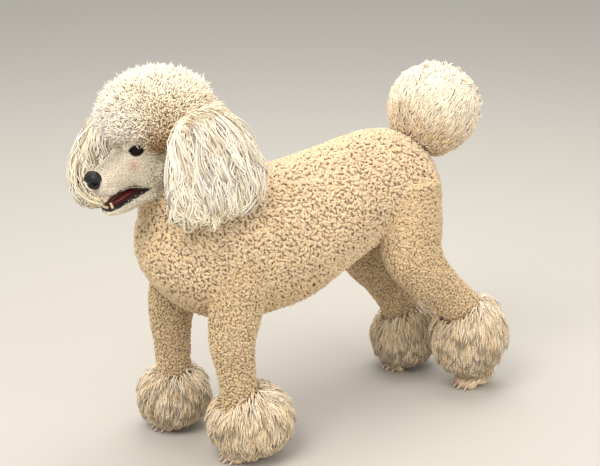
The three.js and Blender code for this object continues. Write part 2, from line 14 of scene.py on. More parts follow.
import bpy
import numpy as np
from mathutils import Vector
from mathutils.bvhtree import BVHTree
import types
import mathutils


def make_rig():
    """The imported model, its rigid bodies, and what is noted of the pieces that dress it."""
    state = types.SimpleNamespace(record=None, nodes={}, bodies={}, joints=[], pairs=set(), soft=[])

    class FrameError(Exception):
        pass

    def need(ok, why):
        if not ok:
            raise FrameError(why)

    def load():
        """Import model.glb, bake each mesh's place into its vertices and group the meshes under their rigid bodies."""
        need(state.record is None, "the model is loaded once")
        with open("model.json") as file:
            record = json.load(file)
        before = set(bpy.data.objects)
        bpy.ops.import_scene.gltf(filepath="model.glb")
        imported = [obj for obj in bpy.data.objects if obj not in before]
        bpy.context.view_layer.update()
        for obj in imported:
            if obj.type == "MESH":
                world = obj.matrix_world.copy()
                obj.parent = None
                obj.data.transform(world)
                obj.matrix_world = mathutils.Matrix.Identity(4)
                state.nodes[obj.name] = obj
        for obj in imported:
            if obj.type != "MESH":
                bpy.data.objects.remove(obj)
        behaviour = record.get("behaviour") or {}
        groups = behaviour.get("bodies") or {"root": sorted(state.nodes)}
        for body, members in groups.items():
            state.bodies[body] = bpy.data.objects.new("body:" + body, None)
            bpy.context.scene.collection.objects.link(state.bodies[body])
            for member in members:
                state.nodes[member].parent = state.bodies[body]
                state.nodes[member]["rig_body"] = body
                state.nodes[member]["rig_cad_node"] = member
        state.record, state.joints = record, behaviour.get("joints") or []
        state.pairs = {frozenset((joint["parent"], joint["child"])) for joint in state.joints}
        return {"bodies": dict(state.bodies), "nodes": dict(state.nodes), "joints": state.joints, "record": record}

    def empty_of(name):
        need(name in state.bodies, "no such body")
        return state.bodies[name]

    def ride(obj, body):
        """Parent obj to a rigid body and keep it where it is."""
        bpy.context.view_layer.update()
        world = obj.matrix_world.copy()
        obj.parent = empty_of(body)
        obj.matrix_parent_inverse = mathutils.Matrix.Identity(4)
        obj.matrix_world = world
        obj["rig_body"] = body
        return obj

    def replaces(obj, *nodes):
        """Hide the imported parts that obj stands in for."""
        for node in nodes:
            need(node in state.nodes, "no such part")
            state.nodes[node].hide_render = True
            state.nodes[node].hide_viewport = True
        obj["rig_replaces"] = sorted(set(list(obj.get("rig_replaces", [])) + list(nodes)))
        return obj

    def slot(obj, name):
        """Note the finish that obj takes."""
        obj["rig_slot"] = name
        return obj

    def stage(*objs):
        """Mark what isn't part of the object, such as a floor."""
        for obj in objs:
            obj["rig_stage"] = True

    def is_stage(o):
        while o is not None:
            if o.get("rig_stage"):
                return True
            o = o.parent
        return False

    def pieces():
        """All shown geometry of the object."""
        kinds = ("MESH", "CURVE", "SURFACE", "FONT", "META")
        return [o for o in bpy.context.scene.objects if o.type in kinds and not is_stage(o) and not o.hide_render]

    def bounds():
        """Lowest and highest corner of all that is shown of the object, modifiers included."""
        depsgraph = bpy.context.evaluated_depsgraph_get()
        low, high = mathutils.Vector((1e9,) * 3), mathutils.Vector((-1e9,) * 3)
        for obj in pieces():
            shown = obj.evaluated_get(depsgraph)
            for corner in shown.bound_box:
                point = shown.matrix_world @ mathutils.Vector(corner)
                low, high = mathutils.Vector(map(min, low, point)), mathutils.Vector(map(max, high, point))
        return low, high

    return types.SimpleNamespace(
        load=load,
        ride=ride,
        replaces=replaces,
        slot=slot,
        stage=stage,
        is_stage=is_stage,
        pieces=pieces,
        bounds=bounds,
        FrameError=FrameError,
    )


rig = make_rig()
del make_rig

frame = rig.load()

logging.basicConfig(level=logging.INFO, format="%(message)s")
log = logging.getLogger("poodle")

Array = np.ndarray
Rows = tuple[tuple[float, ...], ...]

ORIGIN = np.array((6.0, -14.0, 0.0))
MM = 0.001
SEED = 20417
BACKWARD = (0.0, 1.0, 0.0)
UPWARD = (0.0, 0.0, 1.0)
BODY = "root"
SIZE_FILE = Path("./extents.json")


class Region(Enum):
    """Where a patch of skin lies, which settles the coat that grows there."""

    TRUNK = 0
    LIMB = 1
    POMPON = 2
    TAIL = 3
    CROWN = 4
    EAR = 5
    FACE = 6
    PAW = 7


# Body sections as middle x, y, z, half width and half depth, out to the coat's tips
TORSO: Rows = (
    (0, -324, 388, 30, 32), (0, -304, 388, 68, 71), (0, -251, 379, 100, 114),
    (0, -179, 367, 109, 133), (0, -108, 363, 111, 133), (0, -27, 370, 109, 131),
    (0, 54, 394, 100, 120), (0, 116, 414, 92, 112), (0, 170, 421, 93, 106),
    (0, 215, 419, 88, 95), (0, 255, 400, 72, 78), (0, 276, 386, 32, 36),
)
NECK: Rows = (
    (0, -194, 372, 84, 92), (0, -229, 418, 87, 97), (1, -244, 474, 78, 84),
    (4, -258, 530, 76, 79), (8, -268, 580, 74, 76), (9, -272, 616, 56, 58),
)
DOCK: Rows = (
    (0, 205, 468, 34, 36), (0, 240, 500, 32, 33), (0, 262, 522, 28, 29),
    (0, 276, 535, 26, 26),
)
TOPKNOT: Rows = (
    (4, -256, 530, 66, 62), (5, -270, 562, 84, 86), (5, -288, 604, 101, 112),
    (6, -297, 640, 96, 104), (6, -295, 672, 77, 84), (5, -292, 693, 45, 50),
    (4, -290, 701, 14, 16),
)
LIMBS: tuple[Rows, ...] = (
    ((62, -165, 400, 40, 62), (74, -182, 330, 42, 62), (84, -200, 268, 39, 50),
     (89, -209, 222, 37, 43), (90, -203, 172, 33, 36), (90, -196, 106, 30, 33),
     (90, -190, 50, 26, 28)),
    ((-62, -185, 400, 40, 60), (-74, -208, 330, 42, 60), (-84, -226, 262, 39, 49),
     (-89, -231, 215, 36, 41), (-90, -229, 165, 32, 35), (-90, -227, 100, 29, 32),
     (-90, -226, 48, 26, 28)),
    ((52, 192, 430, 46, 66), (62, 192, 360, 46, 68), (69, 194, 305, 44, 62),
     (73, 222, 258, 40, 50), (74, 268, 212, 38, 42), (74, 318, 160, 34, 38),
     (74, 348, 66, 26, 30)),
    ((-52, 180, 430, 46, 64), (-62, 172, 360, 46, 64), (-69, 168, 305, 44, 58),
     (-73, 194, 250, 40, 48), (-74, 234, 200, 37, 40), (-74, 278, 128, 33, 36),
     (-74, 290, 48, 26, 28)),
)
FOOT_POMPONS: Rows = (
    (91, -175, 71, 79, 84, 75), (-90, -229, 66, 71, 75, 70),
    (74, 334, 116, 78, 79, 84), (-73, 292, 78, 70, 75, 76),
)
TAIL_POMPON: tuple[float, ...] = (0, 289, 549, 86, 88, 88)
# How much of the way to the tail pompon's dark side runs forwards, and how much down
TAIL_UNDER = (0.55, 0.83)
PAWS: Rows = ((90, -186, 50), (-90, -224, 48), (74, 356, 66), (-74, 292, 48))
TOES = (-1.5, -0.5, 0.5, 1.5)
# Side of the cube that holds one tuft, in millimetres
GAPS = {"trunk": 6.15, "limb": 5.0, "pompon": 2.9, "tail": 3.2, "crown": 2.05, "ear_root": 2.3,
        "paw": 3.8, "face": 2.0}


def head_frame() -> tuple[Array, Array]:
    """Returns the turn and the place of the head frame, midway between the eyes."""
    pitch, yaw = math.radians(18), math.radians(10)
    tip = np.array(((1, 0, 0), (0, math.cos(pitch), -math.sin(pitch)),
                    (0, math.sin(pitch), math.cos(pitch))))
    turn = np.array(((math.cos(yaw), -math.sin(yaw), 0), (math.sin(yaw), math.cos(yaw), 0),
                     (0, 0, 1)))
    return turn @ tip, np.array((17.8, -363.2, 575.6))


HEAD_TURN, HEAD_PLACE = head_frame()


def from_head(points: Array) -> Array:
    """Turns points of the head frame into the dog's frame."""
    return np.asarray(points, float) @ HEAD_TURN.T + HEAD_PLACE


def to_head(points: Array) -> Array:
    """Turns points of the dog's frame into the head frame."""
    return (np.asarray(points, float) - HEAD_PLACE) @ HEAD_TURN


def unit(vectors: Array) -> Array:
    """Gives vectors the length 1, along their last axis."""
    return vectors / np.maximum(np.linalg.norm(vectors, axis=-1, keepdims=True), 1e-9)


def ease(value: Array, low: float, high: float) -> Array:
    """Runs smoothly from 0 at low to 1 at high: s squared times (3 - 2 s)."""
    s = np.clip((value - low) / (high - low), 0, 1)
    return s * s * (3 - 2 * s)


def through(rows: Array, t: Array) -> Array:
    """Carries rows of numbers along a smooth path.

    Between rows b and c, with a before and d after, the path at s is half of
    2b + (c - a)s + (2a - 5b + 4c - d)s^2 + (3b - a - 3c + d)s^3.

    Args:
        rows: the numbers that the path passes through.
        t: places along the path, from 0 to 1.

    Returns:
        One row of numbers for each place.
    """
    ends = np.vstack((2 * rows[0] - rows[1], rows, 2 * rows[-1] - rows[-2]))
    place = np.clip(t, 0, 1) * (len(rows) - 1)
    first = np.minimum(place.astype(int), len(rows) - 2)
    s = (place - first)[..., None]
    a, b, c, d = (ends[first + k] for k in range(4))
    return 0.5 * (2 * b + (c - a) * s + (2 * a - 5 * b + 4 * c - d) * s**2
                  + (3 * b - a - 3 * c + d) * s**3)


def bulge(value: Array, power: float) -> Array:
    """Squares up a sine or cosine: its sign times its size to the power 2 / power."""
    return np.sign(value) * np.abs(value) ** (2 / power)


def mix(first: Array, second: Array, share: Array) -> Array:
    """Lets the second in by a share: first (1 - share) + second share."""
    return first * (1 - share) + second * share


def ring_angles(sides: int) -> Array:
    """Returns the angles of the even steps of one full turn."""
    return np.arange(sides) * 2 * np.pi / sides


def path_steps(count: int) -> Array:
    """Returns places from 0 to 1, shaped to run along many paths at once."""
    return np.linspace(0, 1, count)[None, :, None]


def sphere(rings: int, sides: int, power: float = 2.0) -> tuple[Array, Array]:
    """Spreads directions over a ball: (sin T cos A, sin T sin A, -cos T).

    Args:
        rings: how many rings lie between the poles.
        sides: how many directions lie on a ring.
        power: 2 for a round ball, more for one that is squared up.

    Returns:
        The tilt T of each ring, and the directions as rings, sides and coordinates.
    """
    tilt = np.linspace(0, np.pi, rings + 2)[1:-1, None]
    angle = ring_angles(sides)[None]
    level = bulge(np.sin(tilt), power)
    way = np.stack((level * bulge(np.cos(angle), power), level * bulge(np.sin(angle), power),
                    -bulge(np.cos(tilt), power) + 0 * angle), -1)
    return tilt, way


@dataclass(frozen=True)
class Shell:
    """A closed surface of triangles or quads, in millimetres."""

    points: Array
    faces: Array
    region: Region = Region.FACE

    def tree(self) -> BVHTree:
        """Returns a search tree over the faces."""
        return BVHTree.FromPolygons(self.points.tolist(), self.faces.tolist())

    def placed(self, in_head: bool) -> "Shell":
        """Returns the shell in the dog's frame, turned there if it was in the head's."""
        return Shell(from_head(self.points), self.faces, self.region) if in_head else self


def close_grid(grid: Array, first: Array, last: Array, region: Region = Region.FACE) -> Shell:
    """Closes a grid of rings with a pole at each end.

    Args:
        grid: points as rings, sides and coordinates, each ring running
            anticlockwise when it is seen from the last pole.
        first: the pole before the first ring.
        last: the pole after the last ring.
        region: where the surface lies.

    Returns:
        The closed shell, with its faces outwards.
    """
    rings, sides = grid.shape[:2]
    a = np.arange(rings * sides).reshape(rings, sides)
    b = np.roll(a, -1, axis=1)
    wall = np.stack((a[:-1], b[:-1], b[1:], a[:-1], b[1:], a[1:]), -1).reshape(-1, 3)
    start = rings * sides
    ends = np.concatenate((
        np.stack((np.full(sides, start), b[0], a[0]), -1),
        np.stack((np.full(sides, start + 1), a[-1], b[-1]), -1)))
    points = np.concatenate((grid.reshape(-1, 3), [first, last]))
    return Shell(points, np.concatenate((wall, ends)), region)


def join_shells(shells: list[Shell]) -> Shell:
    """Joins several closed surfaces as one list of triangles."""
    starts = np.cumsum([0] + [len(shell.points) for shell in shells[:-1]])
    return Shell(np.concatenate([shell.points for shell in shells]),
                 np.concatenate([shell.faces + start for shell, start in zip(shells, starts)]))


@dataclass(frozen=True)
class Path:
    """A body along a path: sections square to it, or to a fixed normal."""

    rows: Rows | Array
    normal: tuple[float, ...] | None = None
    side: tuple[float, ...] = (1.0, 0.0, 0.0)
    power: float = 2.0
    in_head: bool = False

    def at(self, t: Array) -> tuple[Array, Array, Array, Array]:
        """Returns the middles, half spans and the two cross directions at places t."""
        given, nudge = np.array(self.rows, float), 0.005
        rows = through(given, t)
        heading = unit(through(given, t + nudge)[..., :3] - through(given, t - nudge)[..., :3])
        along = heading
        if self.normal is not None:
            along = np.broadcast_to(np.array(self.normal), heading.shape)
            along = along * np.sign((along * heading).sum(-1, keepdims=True))
        side = np.array(self.side)
        u = unit(side - along * (along @ side)[..., None])
        return rows[..., :3], rows[..., 3:5], u, np.cross(along, u)

    def shell(self, region: Region, grow: float = 0, rings: int = 24, sides: int = 28) -> Shell:
        """Makes the body's surface, each ring a superellipse.

        A point lies at middle + u (w + grow) C + v (d + grow) S, where C and S are
        the cosine and sine of its angle, squared up by the power.
        """
        middle, span, u, v = self.at(np.linspace(0, 1, rings))
        span = np.maximum(span + grow, 2)
        angle = ring_angles(sides)
        across = bulge(np.cos(angle), self.power)[None, :, None] * u[:, None]
        upward = bulge(np.sin(angle), self.power)[None, :, None] * v[:, None]
        grid = middle[:, None] + across * span[:, None, :1] + upward * span[:, None, 1:]
        return close_grid(grid, middle[0], middle[-1], region).placed(self.in_head)


def ball(at: tuple[float, ...], r: tuple[float, ...], region: Region,
         in_head: bool = False) -> Shell:
    """Makes an ellipsoid: at + (r_x sin T cos A, r_y sin T sin A, -r_z cos T)."""
    centre, pole = np.array(at, float), np.array((0, 0, r[2]))
    grid = centre + sphere(18, 24)[1] * np.array(r, float)
    return close_grid(grid, centre - pole, centre + pole, region).placed(in_head)


def linear(code: str) -> Array:
    """Turns a hex sRGB colour into linear light."""
    parts = np.array([int(code[i:i + 2], 16) for i in (1, 3, 5)]) / 255
    return np.where(parts <= 0.04045, parts / 12.92, ((parts + 0.055) / 1.055) ** 2.4)


def make_mesh(name: str, points: Array, faces: Array, smooth: bool = True) -> bpy.types.Mesh:
    """Puts millimetre points and triangles or quads into a mesh in metres."""
    mesh = bpy.data.meshes.new(name)
    corners = faces.shape[1]
    mesh.vertices.add(len(points))
    mesh.vertices.foreach_set("co", ((points - ORIGIN) * MM).astype(np.float32).ravel())
    mesh.loops.add(faces.size)
    mesh.loops.foreach_set("vertex_index", faces.astype(np.int32).ravel())
    mesh.polygons.add(len(faces))
    mesh.polygons.foreach_set("loop_start", np.arange(0, faces.size, corners, dtype=np.int32))
    mesh.polygons.foreach_set("use_smooth", np.full(len(faces), smooth))
    mesh.update(calc_edges=True)
    return mesh


def paint(mesh: bpy.types.Mesh, name: str, values: Array) -> None:
    """Keeps one number or one colour for each point of a mesh."""
    if values.ndim == 1:
        layer = mesh.attributes.new(name, "FLOAT", "POINT")
        layer.data.foreach_set("value", values.astype(np.float32))
    else:
        layer = mesh.attributes.new(name, "FLOAT_COLOR", "POINT")
        full = np.concatenate((values, np.ones((len(values), 1))), 1)
        layer.data.foreach_set("color", full.astype(np.float32).ravel())


def read(items: bpy.types.bpy_prop_collection, name: str, width: int, kind: type) -> Array:
    """Reads one property of a mesh's items as rows of so many numbers."""
    values = np.zeros(len(items) * width, kind)
    items.foreach_get(name, values)
    return values.reshape(-1, width)


def link(name: str, data: bpy.types.ID) -> bpy.types.Object:
    """Puts a mesh, light or camera into the scene as an object."""
    placed = bpy.data.objects.new(name, data)
    bpy.context.scene.collection.objects.link(placed)
    return placed


def aim(placed: bpy.types.Object, way: Vector) -> None:
    """Turns a light or a camera to look along a direction."""
    placed.rotation_mode = "QUATERNION"
    placed.rotation_quaternion = way.to_track_quat("-Z", "Y")


def add_piece(name: str, mesh: bpy.types.Mesh, slot: str, material: bpy.types.Material,
              replaces: tuple[str, ...] = ()) -> None:
    """Adds a mesh to the scene as a piece that rides on the dog."""
    piece = link(name, mesh)
    mesh.materials.append(material)
    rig.ride(piece, BODY)
    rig.slot(piece, slot)
    if replaces:
        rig.replaces(piece, *replaces)
    log.info("%s: %d faces", name, len(mesh.polygons))


def add_shell(name: str, shell: Shell, slot: str, material: bpy.types.Material,
              replaces: tuple[str, ...] = (), **layers: Array) -> None:
    """Adds a shell as a piece, with the colours and numbers kept for its points."""
    mesh = make_mesh(name, shell.points, shell.faces)
    for layer, values in layers.items():
        paint(mesh, layer, values)
    add_piece(name, mesh, slot, material, replaces)


@dataclass(frozen=True)
class Markings:
    """The colours of coat and skin, place by place."""

    flank: str = "#dfc8a5"
    topline: str = "#dec5a4"
    # Painted shade: the darker tone of the lower trunk
    belly: str = "#d8bd93"
    # The thigh's own peach tone, darkened by painted shade
    thigh: str = "#d6bd97"
    foreleg: str = "#d3bb95"
    pompon_heart: str = "#dfc49b"
    pompon_edge: str = "#f1e9da"
    tail: str = "#efdfc3"
    dock: str = "#d6b585"
    # Paler colour of the topknot's front, also painted light on its top
    crown_front: str = "#fcf4e6"
    crown_middle: str = "#f9e7c8"
    ear_root: str = "#bf935e"
    ear: str = "#fbf4e6"
    ear_end: str = "#efdfb8"
    face: str = "#f1e6d2"
    bridge: str = "#c4b8aa"
    under_eye: str = "#d28f7a"
    paw: str = "#e6cdaa"
    mouth: str = "#54201f"
    lips: str = "#1a1516"
    lid_rim: str = "#1c1617"
    # Painted highlight: the colour that bright locks of the ears are lightened towards
    ear_bright: str = "#fff8ec"
    # Painted shade: the tan colour that shaded locks of the ears are darkened towards
    ear_tan: str = "#c3a878"
    # Paler inner coat, also painted light that lifts the shade in the gaps between tufts
    undercoat: str = "#f8e4c4"

    def colour(self, points: Array, regions: Array) -> Array:
        """Mixes the markings at points of the dog.

        Each region starts from one colour and blends to its neighbours with eased
        steps between two heights or lengths in millimetres, of the dog's frame or,
        on the face, of the head's. Small patches fade out as exp(-(distance / size)^2).

        Args:
            points: places in the dog's frame.
            regions: the Region value of each.

        Returns:
            Linear colours, one row for each point.
        """
        tone = {name: linear(code) for name, code in vars(self).items()}
        x, y, z = points.T
        result = np.tile(tone["flank"], (len(points), 1))
        for region, name in ((Region.POMPON, "pompon_heart"), (Region.TAIL, "tail"),
                             (Region.CROWN, "crown_middle"), (Region.EAR, "ear"),
                             (Region.FACE, "face"), (Region.PAW, "paw")):
            result[regions == region.value] = tone[name]

        def blend(share: Array, name: str, where: Region) -> None:
            """Lets one colour in by a share, in one region."""
            weight = (np.clip(share, 0, 1) * (regions == where.value))[:, None]
            result[:] = mix(result, tone[name], weight)

        # Painted shade: the trunk darkens downwards, from 350 mm to 250 mm
        blend(1 - ease(z, 250, 350), "belly", Region.TRUNK)
        blend(ease(z, 400, 500), "topline", Region.TRUNK)
        # Painted shade: the lower rear of the trunk takes the darker thigh colour
        blend(ease(y, 90, 180) * (1 - ease(z, 330, 420)), "thigh", Region.TRUNK)
        blend(ease(y, 225, 262) * ease(z, 470, 500), "dock", Region.TRUNK)
        blend(ease(-y, -60, 60), "foreleg", Region.LIMB)
        # Painted shade: the hind legs take the darker thigh colour too
        blend(ease(y, 60, 160), "thigh", Region.LIMB)
        under = (TAIL_POMPON[1] - y) * TAIL_UNDER[0] + (TAIL_POMPON[2] - z) * TAIL_UNDER[1]
        blend(0.85 * ease(under, -8, 46), "dock", Region.TAIL)
        # The topknot's front is paler in its own colour; its top is paled by painted light from above
        front = ease(-y, 300, 385)
        blend(np.maximum(front, ease(z, 610, 680) * 0.7), "crown_front", Region.CROWN)
        root = np.exp(-((y + 332) / 20) ** 2 - ((z - 585) / 34) ** 2) * ease(x, 30, 75)
        blend(root * 0.9, "ear_root", Region.CROWN)
        blend(1 - ease(z, 440, 520), "ear_end", Region.EAR)
        across, back, up = to_head(points).T
        ridge = np.exp(-(across / 13) ** 2) * ease(-back, -6, 30) * ease(up, -34, -12)
        blend(ridge * 0.8, "bridge", Region.FACE)
        lip = np.exp(-((up + 58 + 0.1 * back) / 8) ** 2) * ease(-back, 10, 40)
        blend(lip * 0.5, "bridge", Region.FACE)
        tear = np.exp(-((np.abs(across) - 28) / 9) ** 2 - ((back + 15) / 7) ** 2
                      - ((up + 20) / 9) ** 2)
        blend(tear * 0.65, "under_eye", Region.FACE)
        return result


# A turn along none of the body's axes, so that the roots show no straight rows
LATTICE_TURN = np.linalg.qr(np.array(((3.0, 1, 2), (1, -4, 1), (2, 2, 5))))[0]


@dataclass
class Skin:
    """One skin for the whole dog, remeshed evenly with the head magnified."""

    voxel: float = 4.8
    head_scale: float = 2.0
    head_reach: float = 92.0
    head_middle: tuple[float, float, float] = (0.0, -22.0, -36.0)
    coat_depth: dict[Region, float] = field(default_factory=lambda: {
        Region.TRUNK: 6.4, Region.LIMB: 5, Region.POMPON: 23, Region.TAIL: 15})
    crown_share: float = 0.85
    crown_pivot: tuple[float, float, float] = (5.0, -285.0, 590.0)
    points: Array = field(init=False)
    quads: Array = field(init=False)
    regions: Array = field(init=False)
    normals: Array = field(init=False)

    def shells(self, ears: "list[Ear]", head: "Head") -> list[Shell]:
        """Makes every closed form that the skin wraps."""
        depth = self.coat_depth
        forms = [
            Path(TORSO, normal=BACKWARD).shell(Region.TRUNK, -depth[Region.TRUNK], 40, 40),
            Path(NECK).shell(Region.TRUNK, -depth[Region.TRUNK]),
            Path(DOCK).shell(Region.TRUNK, -7),
        ]
        forms += [Path(rows).shell(Region.LIMB, -depth[Region.LIMB]) for rows in LIMBS]
        forms += [ball(row[:3], tuple(r - depth[Region.POMPON] for r in row[3:]), Region.POMPON)
                  for row in FOOT_POMPONS]
        forms.append(ball(TAIL_POMPON[:3], tuple(r - depth[Region.TAIL] for r in TAIL_POMPON[3:]),
                          Region.TAIL))
        pivot = np.array((*self.crown_pivot, 0, 0))
        crown = pivot + (np.array(TOPKNOT) - pivot) * self.crown_share
        forms.append(Path(crown, normal=UPWARD).shell(Region.CROWN))
        forms += [shell for place in PAWS for shell in Paw(*place).shells()]
        forms += [ear.leaf() for ear in ears]
        return forms + head.shells()

    def magnify(self, points: Array, back: bool = False) -> Array:
        """Scales the head up about its middle, and moves what lies beyond outwards.

        A distance r turns into scale times r inside the reach, and beyond it into
        r + (scale - 1) reach. back turns that round.
        """
        middle = from_head(self.head_middle)
        away = points - middle
        r = np.linalg.norm(away, axis=1, keepdims=True)
        extra = (self.head_scale - 1) * self.head_reach
        if back:
            size = np.where(r < self.head_scale * self.head_reach, r / self.head_scale, r - extra)
        else:
            size = np.where(r < self.head_reach, r * self.head_scale, r + extra)
        return middle + away * size / np.maximum(r, 1e-6)

    def wrap(self, forms: list[Shell]) -> None:
        """Joins the forms into one surface of even quads, smoothed, with its regions."""
        joined = join_shells(forms)
        rough = link("rough", make_mesh("rough", self.magnify(joined.points), joined.faces))
        remesh = rough.modifiers.new("even", "REMESH")
        remesh.mode = "VOXEL"
        remesh.voxel_size = self.voxel * MM
        graph = bpy.context.evaluated_depsgraph_get()
        even = bpy.data.meshes.new_from_object(rough.evaluated_get(graph))
        bpy.data.objects.remove(rough)
        self.quads = read(even.loops, "vertex_index", 1, np.int32).reshape(-1, 4)
        edges = read(even.edges, "vertices", 2, np.int32)
        points = self.magnify(read(even.vertices, "co", 3, np.float32) / MM + ORIGIN, back=True)
        self.points = self.smooth(points, edges, 5)
        self.regions = self.nearest(forms)
        self.refresh()

    @staticmethod
    def smooth(points: Array, edges: Array, rounds: int) -> Array:
        """Moves each point half way to its neighbours' mean, then 0.53 back, in rounds."""
        count = np.bincount(edges.ravel(), minlength=len(points))[:, None]
        for step in (0.5, -0.53) * rounds:
            total = np.stack([
                np.bincount(edges[:, 0], points[edges[:, 1], k], len(points))
                + np.bincount(edges[:, 1], points[edges[:, 0], k], len(points))
                for k in range(3)], 1)
            points = points + step * (total / count - points)
        return points

    def nearest(self, forms: list[Shell]) -> Array:
        """Gives each point the region of the form whose surface is nearest."""
        best = np.full(len(self.points), np.inf)
        regions = np.zeros(len(self.points), int)
        places = [Vector(p) for p in self.points]
        for form in forms:
            low, high = form.points.min(0) - 25, form.points.max(0) + 25
            near = np.flatnonzero(((self.points > low) & (self.points < high)).all(1))
            tree = form.tree()
            gap = np.array([tree.find_nearest(places[i])[3] for i in near])
            closer = gap < best[near]
            best[near[closer]] = gap[closer]
            regions[near[closer]] = form.region.value
        return regions

    def refresh(self) -> None:
        """Works out the normals anew: the sum of each point's quad normals."""
        corners = self.points[self.quads]
        flat = np.cross(corners[:, 2] - corners[:, 0], corners[:, 3] - corners[:, 1])
        self.normals = unit(np.stack([
            sum(np.bincount(self.quads[:, c], flat[:, k], len(self.points)) for c in range(4))
            for k in range(3)], 1))

    def tree(self) -> BVHTree:
        """Returns a search tree over the skin."""
        return BVHTree.FromPolygons(self.points.tolist(), self.quads.tolist())

    def scatter(self, where: Array, gap: float, rng: np.random.Generator) -> "Roots":
        """Spreads roots evenly over quads: of five tries on each, one in each cube.

        The cubes, of side gap, stand turned, and their numbers are packed in one.
        """
        quad = np.repeat(self.quads[where], 5, axis=0)
        a, b = rng.random((2, len(quad), 1))
        share = np.stack(((1 - a) * (1 - b), a * (1 - b), a * b, (1 - a) * b), 1)
        points = (self.points[quad] * share).sum(1)
        cube = np.floor(points @ LATTICE_TURN / gap + 1000).astype(np.int64)
        first = np.unique(cube @ np.array((1, 4096, 4096**2)), return_index=True)[1]
        normals = unit((self.normals[quad[first]] * share[first]).sum(1))
        return Roots(points[first], normals, self.regions[quad[first, 0]])

    def dress(self, markings: Markings, material: bpy.types.Material,
              replaces: tuple[str, ...]) -> None:
        """Adds the skin as a piece: darker on the shaved face, pale under the coat, where the paler inner coat is also
        painted light that lifts the shade in the gaps between tufts.
        """
        shaved = self.regions == Region.FACE.value
        shade = np.where(shaved, 0.72, 1.0)[:, None]
        # The skin under the coat is 60 % of the pale colour: partly its real paleness, partly painted light in the
        # gaps
        pale = np.where(shaved, 0.0, 0.6)[:, None]
        colour = markings.colour(self.points, self.regions) * shade
        colour = mix(colour, linear(markings.undercoat), pale)
        add_shell("skin", Shell(self.points, self.quads), "coat_apricot", material, replaces,
                  coat=Head().mouth_colour(self.points, colour, markings),
                  along=np.full(len(self.points), 0.6), tint=np.ones(len(self.points)))


@dataclass(frozen=True)
class Roots:
    """Where tufts grow: places, skin normals and regions."""

    points: Array
    normals: Array
    regions: Array

    def keep(self, which: Array) -> "Roots":
        """Returns the roots that a mask or a list of places picks."""
        return Roots(self.points[which], self.normals[which], self.regions[which])

    @classmethod
    def alike(cls, points: Array, normals: Array, region: Region) -> "Roots":
        """Makes roots that all lie in one region."""
        return cls(points, normals, np.full(len(points), region.value))


@dataclass(frozen=True)
class Paw:
    """A paw: pastern, pad and four toes."""

    x: float
    y: float
    top: float

    def toe(self, place: float) -> tuple[float, float]:
        """Returns a toe's x and y: the two in the middle stand 6 mm further forward."""
        return self.x + place * 12.5, self.y - 25 - (6 if abs(place) < 1 else 0)

    def shells(self) -> list[Shell]:
        """Makes the pastern, the pad and the four toes."""
        x, y = self.x, self.y
        pastern = Path(((x, y + 12, self.top, 20, 21), (x, y + 9, 30, 22, 24),
                        (x, y, 14, 24, 29), (x, y - 2, 5, 21, 25)))
        toes = [ball((*self.toe(place), 11.4), (7.6, 13, 11.4), Region.PAW) for place in TOES]
        return [pastern.shell(Region.PAW, 0, 12, 20),
                ball((x, y + 8, 8.4), (17, 17, 8.4), Region.PAW), *toes]

    def claw(self, place: float) -> Shell:
        """Makes one claw: a cone whose middle line bends down by the square of s."""
        s = np.linspace(0, 1, 7)
        taper = (1 - s) ** 0.6
        x, y = self.toe(place)
        rows = np.stack((np.full(7, x), y - 9 - 10 * s, 10 - 2.2 * s - 5.0 * s**2,
                         2.7 * taper + 0.2, 3.1 * taper + 0.2), 1)
        return Path(rows, normal=BACKWARD).shell(Region.PAW, 0, 9, 10)


